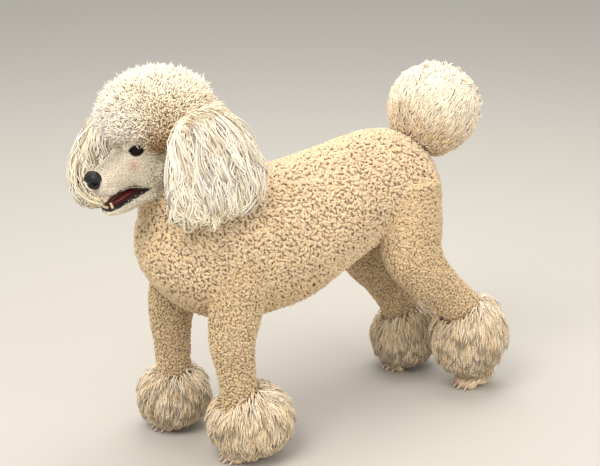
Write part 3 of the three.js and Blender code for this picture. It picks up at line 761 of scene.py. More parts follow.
@dataclass(frozen=True)
class Eye:
    """A globe in almond lids, looking outwards and a little up."""

    mirror: int
    at: tuple[float, float, float] = (25.0, 6.5, 0.5)
    r: float = 11.6
    cornea: float = 0.7
    out: float = 42.0
    up: float = 8.0
    wide: float = 22.5
    high: float = 15.0
    rows: tuple[tuple[float, float], ...] = (
        (0.86, -0.4), (0.94, 0.25), (1.0, 1.15), (1.08, 1.5), (1.18, 1.3), (1.34, 1.0),
        (1.55, 0.3), (1.8, -1.6))
    sides: int = 56

    def axes(self) -> tuple[Array, Array]:
        """Returns the middle in the dog's frame, and the across, upward and gaze axes."""
        out, up = math.radians(self.out) * self.mirror, math.radians(self.up)
        gaze = np.array((math.sin(out) * math.cos(up), -math.cos(out) * math.cos(up), math.sin(up)))
        across = np.array((math.cos(out), math.sin(out), 0.0))
        turn = np.stack((across, np.cross(gaze, across), gaze))
        middle = from_head(np.array(self.at) * (self.mirror, 1, 1))
        return middle, turn @ HEAD_TURN.T

    def edge(self, angle: Array) -> Array:
        """The almond's outline: x is half the width times cos A, y an arc's height.

        The arc of radius L through both corners stands sqrt(L^2 - x^2) - (L - h / 2)
        above the middle line, and y has the sign of sin A.
        """
        half = self.wide / 2
        lift = (self.high**2 / 4 + half**2) / self.high
        x = half * np.cos(angle)
        y = np.sqrt(np.maximum(lift**2 - x**2, 0)) - (lift - self.high / 2)
        return np.stack((x, y * np.sign(np.sin(angle) + 1e-9)), -1)

    def share(self, x: Array, y: Array) -> Array:
        """How far out in the almond a point is: 0 in the middle, 1 on its edge."""
        half = self.wide / 2
        return np.sqrt((x / half) ** 2 + (y / (self.high / 2)) ** 2) * (1 + 0.12 * np.abs(x / half))

    def hollow(self, points: Array) -> Array:
        """Presses the skin in behind the globe, within the lids."""
        middle, axes = self.axes()
        x, y, z = ((points - middle) @ axes.T).T
        deep = np.sqrt(np.maximum(self.r**2 - x**2 - y**2, 0)) - 3.0
        weight = (1 - ease(self.share(x, y), 1.15, 1.6)) * (z > -2)
        pushed = np.minimum(z, deep)
        return points + ((pushed - z) * weight)[:, None] * axes[2]

    def globe(self, rings: int = 28, sides: int = 40) -> tuple[Shell, Array]:
        """Makes the globe with its pole on the gaze, and each point's tilt from it."""
        middle, axes = self.axes()
        tilt, way = sphere(rings, sides)
        swell = self.r + self.cornea * np.exp(-(tilt[::-1] / 0.5) ** 2)
        way = way * swell[..., None]
        shell = close_grid(middle + way @ axes, middle - self.r * axes[2],
                           middle + (self.r + self.cornea) * axes[2])
        from_gaze = np.concatenate((np.repeat(np.pi - tilt[:, 0], sides), (np.pi, 0)))
        return shell, from_gaze

    def lids(self, skin: BVHTree) -> tuple[Shell, Array]:
        """Makes the lids as rings round the almond, from the globe out to the skin.

        Row q stands at q times the almond's outline. Near the edge it rides on the
        globe, and further out on the skin, found by rays along the gaze.
        """
        middle, axes = self.axes()
        edge = self.edge(ring_angles(self.sides))
        grid, shares = [], []
        for q, lift in self.rows:
            flat = edge * q
            radius = (flat**2).sum(1)
            globe = np.sqrt(np.maximum(self.r**2 - radius, 6))
            start = middle + flat @ axes[:2] + 40 * axes[2]
            hits = [skin.ray_cast(Vector(p), Vector(-axes[2]))[3] for p in start]
            top = np.array([40 - hit if hit is not None else 0 for hit in hits])
            over = ease(np.full(len(top), q), 0.94, 1.3)
            height = mix(globe, np.maximum(top, globe), over) + lift
            grid.append(middle + flat @ axes[:2] + height[:, None] * axes[2])
            shares.append(np.full(self.sides, q))
        rim = np.array(grid)
        under = rim[::-1] - 2.5 * axes[2]
        ring = np.concatenate((rim, under))
        count = len(ring)
        a = np.arange(count * self.sides).reshape(count, self.sides)
        b, down = np.roll(a, -1, axis=1), np.roll(a, -1, axis=0)
        diagonal = np.roll(down, -1, axis=1)
        faces = np.stack((a, diagonal, b, a, down, diagonal), -1).reshape(-1, 3)
        q_of = np.concatenate((np.concatenate(shares), np.concatenate(shares[::-1])))
        return Shell(ring.reshape(-1, 3), faces), q_of


@dataclass(frozen=True)
class Head:
    """The shaved head: skull, muzzle, jaw, mouth and nose, in the head frame."""

    corner: tuple[float, float] = (-1.0, -68.0)
    upper_front: tuple[float, float] = (-100.0, -45.0)
    lower_front: tuple[float, float] = (-100.0, -76.0)
    skull: Rows = (
        (0, 108, 8, 30, 34), (0, 84, -6, 52, 60), (0, 48, -24, 56, 70), (0, 20, -35, 50, 61),
        (0, 0, -40, 43, 51), (0, -18, -33, 31, 31), (0, -43, -32, 25.5, 26.5),
        (0, -60, -32, 22.5, 22.5), (0, -71, -33, 18.5, 19), (0, -77, -36, 12, 14))
    jaw: Rows = (
        (0, 30, -80, 41, 15), (0, 4, -82.5, 37, 14.5), (0, -18, -83.4, 28, 13.6),
        (0, -43, -84, 21.5, 12.2), (0, -62, -82.4, 17.5, 9.2), (0, -70, -80.4, 13.5, 6.6),
        (0, -74, -79.2, 8, 4.2))
    tongue: Rows = (
        (0, -8, -70.5, 10, 3), (0, -26, -70, 13.5, 5), (0, -44, -70.5, 13, 5.4),
        (0, -56, -71.6, 10.5, 4.4), (0, -63, -72.8, 6, 2.6))
    # The lid's mound, the brow, the cheek and the flews, each a place and its radii
    mounds: tuple[Rows, ...] = (
        ((24, 9, -0.5), (18, 17, 15.5)), ((17, 2, 9), (13, 15, 10)),
        ((36, 34, -44), (20, 30, 28)), ((12, -57, -42), (13, 17, 11)))
    nose_at: tuple[float, float, float] = (0.0, -75.0, -20.0)
    nose_r: tuple[float, float, float] = (17.0, 12.5, 15.5)
    teeth: tuple[tuple[float, float, float, float], ...] = (
        (11.8, -65, 2.3, 8.0), (2.0, -70.6, 1.4, 2.6), (5.0, -69.8, 1.4, 2.8))

    def mouth_edge(self, y: Array, front: tuple[float, float]) -> Array:
        """Height at y of the straight line from the mouth's corner to a front end."""
        (corner_y, corner_z), (front_y, front_z) = self.corner, front
        return corner_z + (front_z - corner_z) * (y - corner_y) / (front_y - corner_y)

    def upper(self, y: Array) -> Array:
        """Height of the upper edge of the open mouth at y."""
        return self.mouth_edge(y, self.upper_front)

    def lower(self, y: Array) -> Array:
        """Height of the lower edge of the open mouth at y."""
        return self.mouth_edge(y, self.lower_front)

    def shells(self) -> list[Shell]:
        """Makes the skull and the jaw, and on each side the mounds of the flesh."""
        forms = [Path(rows, normal=BACKWARD, power=2.5, in_head=True).shell(
            Region.FACE, 0, count, count) for rows, count in ((self.skull, 48), (self.jaw, 36))]
        return forms + [ball((x * side, y, z), r, Region.FACE, True)
                        for side in (1, -1) for (x, y, z), r in self.mounds]

    def mouth_colour(self, points: Array, colour: Array, markings: Markings) -> Array:
        """Blackens the skin of the lips and reddens what lies between them."""
        x, y, z = to_head(points).T
        upper, lower = self.upper(y), self.lower(y)
        along = ease(-y, -6, 10)
        lips = ease(upper + 3.0 * along - z, 0, 1.2) * ease(z - lower + 6.0 * along, 0, 1.2)
        lips = (lips * (y < 3) * (y > -82))[:, None]
        inside = 1 - ease(np.abs(x), 21 + 0.17 * y, 25 + 0.17 * y)
        inside = (inside * (y > -68))[:, None]
        return mix(colour, mix(linear(markings.lips), linear(markings.mouth), inside), lips)

    def nose(self, rings: int = 56, sides: int = 64) -> Shell:
        """Makes the nose leather: a squared ball with two nostrils and a groove.

        Each nostril is a dent of depth 8.5 exp(-(dx/4.2)^2 - ((dz - dx/4)/3.3)^2) with a
        slit that runs outwards, and the groove between them is 1.5 mm deep.
        """
        way = sphere(rings, sides, 2.3)[1]
        at, r = np.array(self.nose_at), np.array(self.nose_r)
        r_low = r * (0.86, 1, 1)
        shape = way * np.where(way[..., 2:] < 0, r_low, r)
        ahead = ease(-way[..., 1], 0.1, 0.6)
        for side in (1, -1):
            dx, dz = (shape[..., 0] - 8.2 * side) * side, shape[..., 2] + 1.0
            dent = 8.5 * np.exp(-(dx / 4.2) ** 2 - ((dz - 0.25 * dx) / 3.3) ** 2)
            slit = 4.5 * np.exp(-((dz - 0.9 + 0.15 * dx) / 1.6) ** 2) * ease(dx, 0, 5)
            wing = 1.4 * np.exp(-(dx / 7) ** 2 - ((dz - 5) / 3.0) ** 2)
            shape[..., 1] += (dent + slit - wing) * ahead
        groove = 1.5 * np.exp(-(shape[..., 0] / 1.0) ** 2) * ease(-shape[..., 2], -5, 2)
        shape[..., 1] += groove * ahead
        return close_grid(at + shape, at - (0, 0, r_low[2]), at + (0, 0, r[2])).placed(True)

    def lip(self, edge: str, skin: BVHTree) -> Shell:
        """Makes one black lip: a flat tube along the mouth's edge, set on the skin."""
        y = np.concatenate((np.linspace(-3, -66, 30), np.linspace(-68, -73, 6)))
        rows = self.skull if edge == "upper" else self.jaw
        sections = np.array(rows, float)[::-1]
        width = np.interp(y, sections[:, 1], sections[:, 3])
        height = self.upper(y) + 1.6 if edge == "upper" else self.lower(y) - 2.6
        left = np.stack((width, y, height), 1)
        right = left[::-1] * (-1, 1, 1)
        line = from_head(np.concatenate((left, right)))
        found = [skin.find_nearest(Vector(p)) for p in line]
        line = np.array([hit[0] for hit in found])
        out = np.array([hit[1] for hit in found])
        for _ in range(6):
            line[1:-1] = (line[:-2] + 2 * line[1:-1] + line[2:]) / 4
            out[1:-1] = unit(out[:-2] + 2 * out[1:-1] + out[2:])
        heading = unit(np.gradient(line, axis=0))
        across = unit(np.cross(heading, out))
        angle = ring_angles(10)
        taper = np.sin(np.linspace(0.12, np.pi - 0.12, len(line))) ** 0.35
        high = 1.4 if edge == "upper" else 2.8
        ring = (across[:, None] * np.cos(angle)[None, :, None] * high
                + out[:, None] * np.sin(angle)[None, :, None] * 1.4) * taper[:, None, None]
        return close_grid((line[:, None] + ring)[:, ::-1], line[0], line[-1])

    def teeth_shells(self) -> list[Shell]:
        """Makes the lower teeth: cones that bend outwards, rooted in the jaw."""
        made = []
        for x, y, r, high in self.teeth:
            base = float(self.lower(np.array(y)))
            for side in (1, -1):
                s = np.linspace(0, 1, 7)
                round_tip = np.sqrt(np.maximum(1 - s**2.2, 0.02))
                rows = np.stack((side * (x + 0.8 * s**2), y - 1.2 * s**2, base - 3 + (high + 3) * s,
                                 r * round_tip, r * 1.1 * round_tip), 1)
                tooth = Path(rows, normal=UPWARD, in_head=True)
                made.append(tooth.shell(Region.FACE, 0, 7, 12))
        return made


@dataclass(frozen=True)
class Ear:
    """A long ear: a leaf of leather with silky locks that hang down over it."""

    name: str
    rows: Rows
    side: tuple[float, float, float]

    @property
    def out(self) -> float:
        """Which way the ear's outer face looks: +1 to the left, -1 to the right."""
        return float(np.sign(self.rows[0][0]))

    def leaf(self) -> Shell:
        """Makes the leather: 0.84 as wide as the locks, half as deep, and shorter."""
        way = np.array((self.side[1], -self.side[0], 0)) * self.out
        rows = np.array(self.rows, float)[:6].copy()
        rows[:, :3] -= way * rows[:, 4:5] * 0.2
        rows[:, 3] *= 0.84
        rows[:, 4] *= 0.5
        return Path(rows, UPWARD, self.side, 2.6).shell(Region.EAR, 0, 20, 28)

    def paths(self, count: int, steps: int, rng: np.random.Generator, reach: tuple[float, float],
              wave: float, curl: float) -> tuple[Array, Array]:
        """Leads locks down the ear.

        A lock starts at t0 down the ear and c0 across it and runs to t0 + length.
        Its place across sways by wave times sin(2 pi (turns s + phase)), and it stands
        off the ear's middle by sqrt(1 - c^2) times a share that rises from its root.
        Its last part winds round a circle of radius curl, sideways and up.

        Args:
            count: how many locks.
            steps: how many points lead each.
            rng: the source of chance.
            reach: shares of the ear's depth at the root and further down.
            wave: how far a lock sways, in millimetres.
            curl: radius of the loop at its end.

        Returns:
            The paths, as locks, steps and coordinates, and their outward directions.
        """
        ear = Path(self.rows, UPWARD, self.side)
        s = np.linspace(0, 1, steps)[None]
        start = rng.random((count, 1)) ** 0.9 * 0.64
        longest = rng.uniform(0.88, 1.0, (count, 1))
        end = np.minimum(start + rng.uniform(0.34, 0.62, (count, 1)), longest)
        t = start + (end - start) * s
        across = rng.uniform(-0.98, 0.98, (count, 1))
        middle, span, u, v = ear.at(t.ravel())
        middle, u, v = (part.reshape(count, steps, 3) for part in (middle, u, v))
        span = span.reshape(count, steps, 2)
        face = np.where(rng.random((count, 1)) < 0.64, 1.0, -0.85)
        turns, phase = rng.uniform(0.9, 2.0, (count, 1)), rng.random((count, 1))
        angle = 2 * np.pi * (turns * s + phase)
        sway = wave * np.sin(angle) * (0.15 + 0.85 * s)
        fan = rng.normal(0.02, 0.1, (count, 1)) * s
        c = np.clip(across + fan + sway / span[..., 0], -1.0, 1.0)
        rise = reach[0] + (reach[1] - reach[0]) * np.sin(np.pi * np.minimum(s * 1.4, 1) / 2)
        stand = rise * np.sqrt(np.maximum(1 - c**2, 0.02)) + 0.16 * np.cos(angle) * s
        points = middle + u * (span[..., :1] * c[..., None]) + v * (
            span[..., 1:] * (stand * face * self.out)[..., None])
        loop = ease(s, 0.62, 1.0) * rng.uniform(0.5, 1.25, (count, 1)) * np.pi
        loop = loop * (0.25 + 0.75 * ease(end, 0.8, 0.95))
        way = np.where(rng.random((count, 1)) < 0.5, 1.0, -1.0) * rng.uniform(0.3, 1, (count, 1))
        points += u * (curl * way * np.sin(loop))[..., None]
        points[..., 2] += curl * (1 - np.cos(loop)) * 0.9
        return points, unit(v[:, 0] * face * self.out + u[:, 0] * across * 0.5)


EARS = (
    Ear("left", ((88, -260, 637, 36, 17), (92, -257, 618, 62, 23), (94, -247, 580, 81, 24),
                 (95, -239, 535, 94, 23), (94, -236, 492, 96, 23), (92, -243, 456, 76, 20),
                 (90, -253, 431, 38, 12)), (-0.1191, 0.9929, 0.0)),
    Ear("right", ((-82, -312, 618, 32, 14), (-91, -316, 598, 56, 18), (-98, -320, 562, 74, 21),
                  (-102, -322, 520, 85, 22), (-102, -320, 480, 83, 22), (-99, -318, 450, 62, 18),
                  (-97, -316, 429, 30, 11)), (0.158, 0.9874, 0.0)),
)


@dataclass(frozen=True)
class Tufts:
    """Tufts as closed three-sided horns along paths, made as whole arrays."""

    paths: Array
    facing: Array
    width: Array
    profile: tuple[float, ...]
    flat: float = 1.0
    sides: int = 3

    def points(self) -> Array:
        """Sets a ring at each step of each path and a tip at its end.

        A ring's point lies at path + w p (U cos A + flat V sin A), where w is the
        tuft's half width, p the profile there, and U, V square to the path.
        """
        line = self.paths
        heading = unit(np.gradient(line, axis=1))[:, :-1]
        u = unit(np.cross(heading, self.facing[:, None]))
        v = np.cross(u, heading)
        angle = ring_angles(self.sides) + np.pi / 2
        size = self.width[:, None] * np.array(self.profile)[None]
        ring = (u[:, :, None] * np.cos(angle)[None, None, :, None]
                + self.flat * v[:, :, None] * np.sin(angle)[None, None, :, None])
        rings = line[:, :-1, None] + ring * size[:, :, None, None]
        count, steps = line.shape[0], line.shape[1] - 1
        points = np.concatenate((rings.reshape(count, steps * self.sides, 3), line[:, -1:]), 1)
        points[..., 2] = np.maximum(points[..., 2], 0.4)
        return points

    def part(self, which: slice) -> "Tufts":
        """Returns some of the tufts."""
        return Tufts(self.paths[which], self.facing[which], self.width[which], self.profile,
                     self.flat, self.sides)

    def pattern(self) -> Array:
        """The triangles of one tuft: its base, its wall and its tip."""
        steps, sides = self.paths.shape[1] - 1, self.sides
        a = np.arange(steps * sides).reshape(steps, sides)
        b = np.roll(a, -1, axis=1)
        wall = np.stack((a[:-1], b[1:], b[:-1], a[:-1], a[1:], b[1:]), -1).reshape(-1, 3)
        tip = np.stack((a[-1], np.full(sides, steps * sides), b[-1]), -1)
        base = np.stack([np.array((a[0, 0], a[0, k], a[0, k + 1])) for k in range(1, sides - 1)])
        return np.concatenate((base, wall, tip))

    def mesh(self, name: str, colour: Array, tint: Array, spread: Array) -> bpy.types.Mesh:
        """Joins all tufts in one mesh with their colours and their bake map."""
        points = self.points()
        count, each = points.shape[:2]
        pattern = self.pattern()
        faces = (pattern[None] + np.arange(count)[:, None, None] * each).reshape(-1, 3)
        mesh = make_mesh(name, points.reshape(-1, 3), faces)
        steps = self.paths.shape[1] - 1
        along = np.append(np.repeat(np.arange(steps) / steps, self.sides), 1.0)
        around = np.append(np.tile(np.arange(self.sides) / self.sides, steps), 0.5)
        paint(mesh, "coat", np.repeat(colour, each, axis=0))
        paint(mesh, "along", np.tile(along, count))
        paint(mesh, "tint", np.repeat(tint, each))
        patch = np.stack((around, along), 1) * BAKE_PATCH
        uv = (spread[:, None] + patch[None]).reshape(-1, 2)[faces.ravel()]
        layer = mesh.uv_layers.new(name="OFBake")
        layer.data.foreach_set("uv", uv.astype(np.float32).ravel())
        return mesh


# Size on the bake map of one tuft's own patch
BAKE_PATCH = 0.003
# What is added to a strand's direction: down for a foot's pompon, back and up for the tail's
HANGING = np.array((0.0, 0.0, -0.7))
SWEPT = np.array((0.0, 0.28, 0.42))


def unwrap(points: Array, middle: Array, axis: int) -> Array:
    """Unrolls places round an axis: the turn about it, and the distance along it.

    Args:
        points: places in the dog's frame.
        middle: a point on the axis.
        axis: 1 for the dog's length, 2 for its height.

    Returns:
        Two numbers from 0.01 to 0.98 for each place.
    """
    away = points - middle
    first, second = [k for k in range(3) if k != axis]
    turn = np.arctan2(away[:, second], away[:, first]) / (2 * np.pi) + 0.5
    low, high = away[:, axis].min(), away[:, axis].max()
    run = (away[:, axis] - low) / max(high - low, 1)
    return 0.01 + 0.97 * np.stack((turn, run), 1)


def lay(lie: Array, normal: Array) -> Array:
    """Lays directions flat on the skin."""
    return unit(lie - normal * (lie * normal).sum(1, keepdims=True))


@dataclass(frozen=True)
class Brushing:
    """How the strands of a pompon are brushed.

    lean is added to each strand's direction, flare is how much further the lowest
    ones reach, girth is the middle half width, drawn is how far a strand is drawn to
    its lock, and reach is the share of the pompon's radii at which it ends.
    """

    lean: Array
    flare: float = 0.0
    girth: float = 1.55
    drawn: float = 0.5
    reach: float = 1.0


@dataclass
class Coat:
    """Every tuft, lock and curl that grows on the skin."""

    skin: Skin
    markings: Markings
    material: bpy.types.Material
    rng: np.random.Generator
    most: int = 190000

    def chance(self, low: float, high: float, count: int) -> Array:
        """Draws one number for each tuft, shaped to spread along its path."""
        return self.rng.uniform(low, high, (count, 1, 1))

    def region_of_quads(self, *regions: Region) -> Array:
        """Masks the quads that lie in any of the regions."""
        return np.isin(self.skin.regions[self.skin.quads[:, 0]], [r.value for r in regions])

    def add(self, name: str, tufts: Tufts, roots: Roots, slot: str, middle: Array, axis: int,
            colour: Array | None = None) -> None:
        """Adds coat in its colours, in as many pieces as the limit of faces asks.

        Args:
            name: the piece's name, with a number after it where there are more.
            tufts: the shapes.
            roots: where they grow.
            slot: the slot of the record.
            middle: a point on the axis that the bake map is unrolled round.
            axis: that axis.
            colour: linear colours in place of the markings'.
        """
        if colour is None:
            colour = self.markings.colour(roots.points, roots.regions)
        count = len(roots.points)
        warm = self.rng.normal(0, 1, (count, 1)) * np.array(((0.012, 0.0, -0.03),))
        colour = np.clip(colour * (1 + warm), 0, 1)
        tint = np.clip(1 + self.rng.normal(0, 0.06, count), 0.8, 1.18)
        spread = unwrap(roots.points, middle, axis)
        pieces = math.ceil(count * len(tufts.pattern()) / self.most)
        for number, part in enumerate(np.array_split(np.arange(count), pieces)):
            which = slice(part[0], part[-1] + 1)
            label = name if pieces == 1 else f"{name}_{number + 1}"
            mesh = tufts.part(which).mesh(label, colour[which], tint[which], spread[which])
            add_piece(label, mesh, slot, self.material)

    def curls(self, name: str, roots: Roots, depth: float, axis: int, size: float = 1.0) -> None:
        """Grows clipped curls: each stands up, bends over and hooks back.

        Its place at s is root + N (stem s' + r sin P) + T r (1 - cos P) + B k sin 2P,
        with P = s times a bit over half a turn, N the skin's normal, T the way it lies
        and B across. Curls of a size under 1 are that size low on the leg, and grow to
        full size between the heights 230 and 400.
        """
        count = len(roots.points)
        normal = roots.normals
        lie = lay(np.array((0.0, 0.7, -0.8)) + self.rng.normal(0, 0.6, (count, 3)), normal)
        across = np.cross(normal, lie)
        s = path_steps(4 if size < 1 else 5)
        turn = s * self.chance(0.85, 1.15, count) * np.pi
        local = size + (1 - size) * ease(roots.points[:, 2], 230, 400)
        radius = local[:, None, None] * self.chance(3.6, 6.0, count)
        stem = depth * self.chance(0.68, 1.0, count) - radius
        side = local[:, None, None] * self.chance(-3.5, 3.5, count)
        path = (roots.points[:, None] - normal[:, None] * 2
                + normal[:, None] * (stem * np.minimum(s * 3, 1) + radius * np.sin(turn))
                + lie[:, None] * radius * (1 - np.cos(turn))
                + across[:, None] * side * np.sin(turn * 1.7))
        width = local * self.rng.uniform(2.8, 4.2, count)
        tufts = Tufts(path, normal, width, (0.9, 1.0, 1.0, 0.85)[:path.shape[1] - 1], 0.7)
        self.add(name, tufts, roots, "coat_apricot", roots.points.mean(0), axis)

    def gather(self, way: Array, locks: int, share: float) -> tuple[Array, Array]:
        """Draws directions towards the nearest lock, and gives each lock a length."""
        centres = unit(self.rng.normal(0, 1, (locks, 3)))
        nearest = np.argmax(way @ centres.T, axis=1)
        length = self.rng.uniform(0.88, 1.0, (locks, 1))[nearest]
        return unit(mix(way, centres[nearest], share)), length

    def mop(self, name: str, ball_row: tuple[float, ...], roots: Roots,
            brushing: Brushing) -> None:
        """Grows a pompon: fine strands that stand out all round.

        A strand bends from its root outwards and ends at centre + r way, where way is
        its direction from the centre, leant and drawn to its lock, and sways across.
        """
        centre, radii = np.array(ball_row[:3]), np.array(ball_row[3:])
        count = len(roots.points)
        first = unit((roots.points - centre) / radii)
        way = unit(first + brushing.lean + self.rng.normal(0, 0.1, (count, 3)))
        way, length = self.gather(way, 230, brushing.drawn)
        low = brushing.flare * np.maximum(-way[:, 2:], 0)
        reach = length * self.rng.uniform(0.93, 1.02, (count, 1)) + low
        end = centre + way * radii * reach * brushing.reach
        s = path_steps(4)
        start = roots.points - roots.normals * 3
        bend = start + (first * radii) * 0.42
        path = (start[:, None] * (1 - s) ** 2 + bend[:, None] * 2 * s * (1 - s)
                + end[:, None] * s**2)
        across = unit(np.cross(way, self.rng.normal(0, 1, (count, 3))))
        other = np.cross(way, across)
        turn = 2 * np.pi * (s * self.chance(0.6, 1.5, count) + self.chance(0, 1, count))
        sway = self.chance(0.6, 2.2, count) * s
        path += sway * (across[:, None] * np.cos(turn) + other[:, None] * np.sin(turn))
        away = (path - centre) / radii
        far = np.linalg.norm(away, axis=-1, keepdims=True)
        path = centre + away / np.maximum(far / (1.015 + brushing.flare), 1) * radii
        path[..., 2] = np.maximum(path[..., 2], 6 + 5 * self.rng.random((count, 1)))
        width = brushing.girth * self.rng.uniform(0.7, 1.3, count)
        tufts = Tufts(path, roots.normals, width, (0.9, 1.0, 0.8), 0.6)
        heart = self.markings.colour(roots.points, roots.regions)
        edge = linear(self.markings.pompon_edge)
        # Random streaks of the pale edge colour, plus painted light: strands that point up are paler
        edge_share = self.rng.random(count) ** 1.2 * 0.75 + 0.25 * ease(way[:, 2], -0.3, 0.8)
        edge_share = np.clip(edge_share, 0, 1)[:, None]
        self.add(name, tufts, roots, "coat_cream", centre, 2, mix(heart, edge, edge_share))

    def loops(self, locks: int, each: int) -> None:
        """Sets looped curls round the tail's pompon, most of them on its upper side.

        A strand's place at s is centre + D R (0.8 + h sin(pi s)) - A w cos(pi s), an
        arch of half width w across A that reaches h beyond its feet along D.
        """
        centre, radii = np.array(TAIL_POMPON[:3]), np.array(TAIL_POMPON[3:])
        way = unit(self.rng.normal(0, 1, (locks, 3)) + SWEPT * 3)
        across = unit(np.cross(way, self.rng.normal(0, 1, (locks, 3))))
        height = self.chance(0.15, 0.26, locks)
        width = self.chance(4.5, 9.0, locks)
        s = path_steps(8)
        arch = (centre + way[:, None] * radii * (0.8 + height * np.sin(np.pi * s))
                - across[:, None] * width * np.cos(np.pi * s))
        path = np.repeat(arch, each, axis=0)
        path = path + self.rng.normal(0, 1.5, (len(path), 1, 3)) * (0.5 + 0.5 * np.sin(np.pi * s))
        facing = np.repeat(way, each, axis=0)
        girth = self.rng.uniform(0.8, 1.4, len(path))
        tufts = Tufts(path, facing, girth, (1.0,) * 7, 0.6)
        roots = Roots.alike(path[:, 0], facing, Region.TAIL)
        colour = self.markings.colour(path[:, 4], roots.regions)
        edge_share = np.repeat(self.rng.random((locks, 1)), each, axis=0)
        colour = mix(colour, linear(self.markings.pompon_edge), edge_share)
        self.add("coat_tail_loops", tufts, roots, "coat_cream", centre, 2, colour)

    def crown(self, roots: Roots) -> None:
        """Grows the topknot: very fine strands brushed out from the skull."""
        count = len(roots.points)
        pivot = np.array(self.skin.crown_pivot)
        end = pivot + (roots.points - pivot) / self.skin.crown_share
        end += (end - pivot) * self.rng.uniform(-0.1, 0.0, (count, 1))
        end += self.rng.normal(0, 3.0, (count, 3))
        apart = [np.linalg.norm(end - Eye(mirror).axes()[0], axis=1) for mirror in (1, -1)]
        clear = np.minimum(*apart) > 25
        end, roots, count = end[clear], roots.keep(clear), int(clear.sum())
        s = path_steps(4)
        start = roots.points - roots.normals * 3
        across = unit(np.cross(end - start, self.rng.normal(0, 1, (count, 3))))
        bow = self.chance(1.0, 5.0, count) * np.sin(np.pi * s * 1.4)
        path = mix(start[:, None], end[:, None], s) + across[:, None] * bow
        width = self.rng.uniform(1.2, 2.1, count)
        tufts = Tufts(path, roots.normals, width, (0.95, 1.0, 0.75))
        self.add("coat_topknot", tufts, roots, "coat_cream", pivot, 2)

    def ears(self, ear: Ear) -> None:
        """Grows an ear's locks: broad wavy ones, then finer ones between them, some lightened by a painted highlight
        and some darkened by painted shade.
        """
        for kind, locks, each, steps, spread, reach in (
                ("locks", 118, 16, 9, 6.0, (0.4, 0.98)), ("wisps", 500, 1, 8, 0.0, (0.5, 1.1))):
            guide, facing = ear.paths(locks, steps, self.rng, reach, 9.0, 13.0)
            s = path_steps(steps)
            taper = np.sin(np.pi * (0.12 + 0.72 * s)) * spread
            path, facing = np.repeat(guide, each, axis=0), np.repeat(facing, each, axis=0)
            path = path + self.rng.normal(0, 0.62, (len(path), 1, 3)) * taper
            path += self.rng.normal(0, 0.5, path.shape) * s
            profile = tuple(0.6 + 0.4 * np.sin(np.pi * np.linspace(0.1, 0.86, steps - 1)))
            tufts = Tufts(path, facing, self.rng.uniform(1.2, 2.5, len(path)), profile, 0.5)
            roots = Roots.alike(path[:, 0], facing, Region.EAR)
            colour = self.markings.colour(path[:, steps // 2], roots.regions)
            # Painted highlight: a random share of the locks is lightened towards the highlight colour
            shine = np.repeat(self.rng.random((locks, 1)) ** 1.5, each, axis=0) * 0.8
            # Painted shade: some locks are darkened towards the shade colour
            lock_shade = np.repeat(ease(self.rng.random((locks, 1)), 0.6, 1.0), each, axis=0) * 0.5
            colour = mix(colour, linear(self.markings.ear_bright), shine)
            colour = mix(colour, linear(self.markings.ear_tan), lock_shade)
            self.add(f"coat_ear_{ear.name}_{kind}", tufts, roots, "coat_white",
                     path.mean((0, 1)), 2, colour)

    def fuzz(self, name: str, roots: Roots, length: Array, width: float, slot: str,
             lie: Array) -> None:
        """Lays short hair along the face and feet, in small flat tufts."""
        count = len(roots.points)
        normal = roots.normals
        lie = lay(np.tile(lie, (count, 1)) + self.rng.normal(0, 0.24, (count, 3)), normal)
        size = (length * self.rng.uniform(0.6, 1.2, count))[:, None, None]
        s = path_steps(3)
        path = (roots.points[:, None] - 0.5 * normal[:, None]
                + lie[:, None] * size * s + normal[:, None] * size * 0.34 * np.sin(2.2 * s))
        girth = width * (0.6 + 0.4 * length / length.min()) * self.rng.uniform(0.7, 1.2, count)
        self.add(name, Tufts(path, normal, girth, (1.0, 0.8), 0.5), roots, slot,
                 roots.points.mean(0), 2)

    def grow(self) -> None:
        """Grows the whole coat, region by region."""
        skin, rng = self.skin, self.rng
        middles = skin.points[skin.quads].mean(1)
        trunk = self.region_of_quads(Region.TRUNK)
        self.curls("coat_body", skin.scatter(trunk, GAPS["trunk"], rng), 7.9, 1)
        limb = self.region_of_quads(Region.LIMB)
        self.curls("coat_legs", skin.scatter(limb, GAPS["limb"], rng), 6.2, 2, 0.74)
        names = ("fore_left", "fore_right", "hind_left", "hind_right")
        pompon = self.region_of_quads(Region.POMPON)
        for name, row in zip(names, FOOT_POMPONS):
            near = np.linalg.norm(middles - row[:3], axis=1) < max(row[3:])
            flare = 0.03 if row[1] < 0 else 0.17
            roots = skin.scatter(pompon & near, GAPS["pompon"], rng)
            self.mop(f"coat_pompon_{name}", row, roots, Brushing(HANGING, flare))
        tail = skin.scatter(self.region_of_quads(Region.TAIL), GAPS["tail"], rng)
        self.mop("coat_pompon_tail", TAIL_POMPON, tail,
                 Brushing(SWEPT, girth=1.75, drawn=0.45, reach=0.91))
        self.loops(84, 12)
        crown = self.region_of_quads(Region.CROWN)
        self.crown(skin.scatter(crown, GAPS["crown"], rng))
        for ear in EARS:
            self.ears(ear)
        brow = self.region_of_quads(Region.EAR) & (middles[:, 2] > 604)
        cover = skin.scatter(brow, GAPS["ear_root"], rng)
        cover = Roots.alike(cover.points, cover.normals, Region.CROWN)
        self.fuzz("coat_ear_roots", cover, np.full(len(cover.points), 27.0), 1.5, "coat_cream",
                  np.array((0.0, 0.6, -0.6)))
        self.face(middles)
        paw = skin.scatter(self.region_of_quads(Region.PAW), GAPS["paw"], rng)
        down = np.array((0.0, -0.7, -0.7))
        length = 5 + 15 * ease(paw.points[:, 2], 18, 34)
        self.fuzz("coat_paws", paw, length, 1.2, "paw_pink", down)

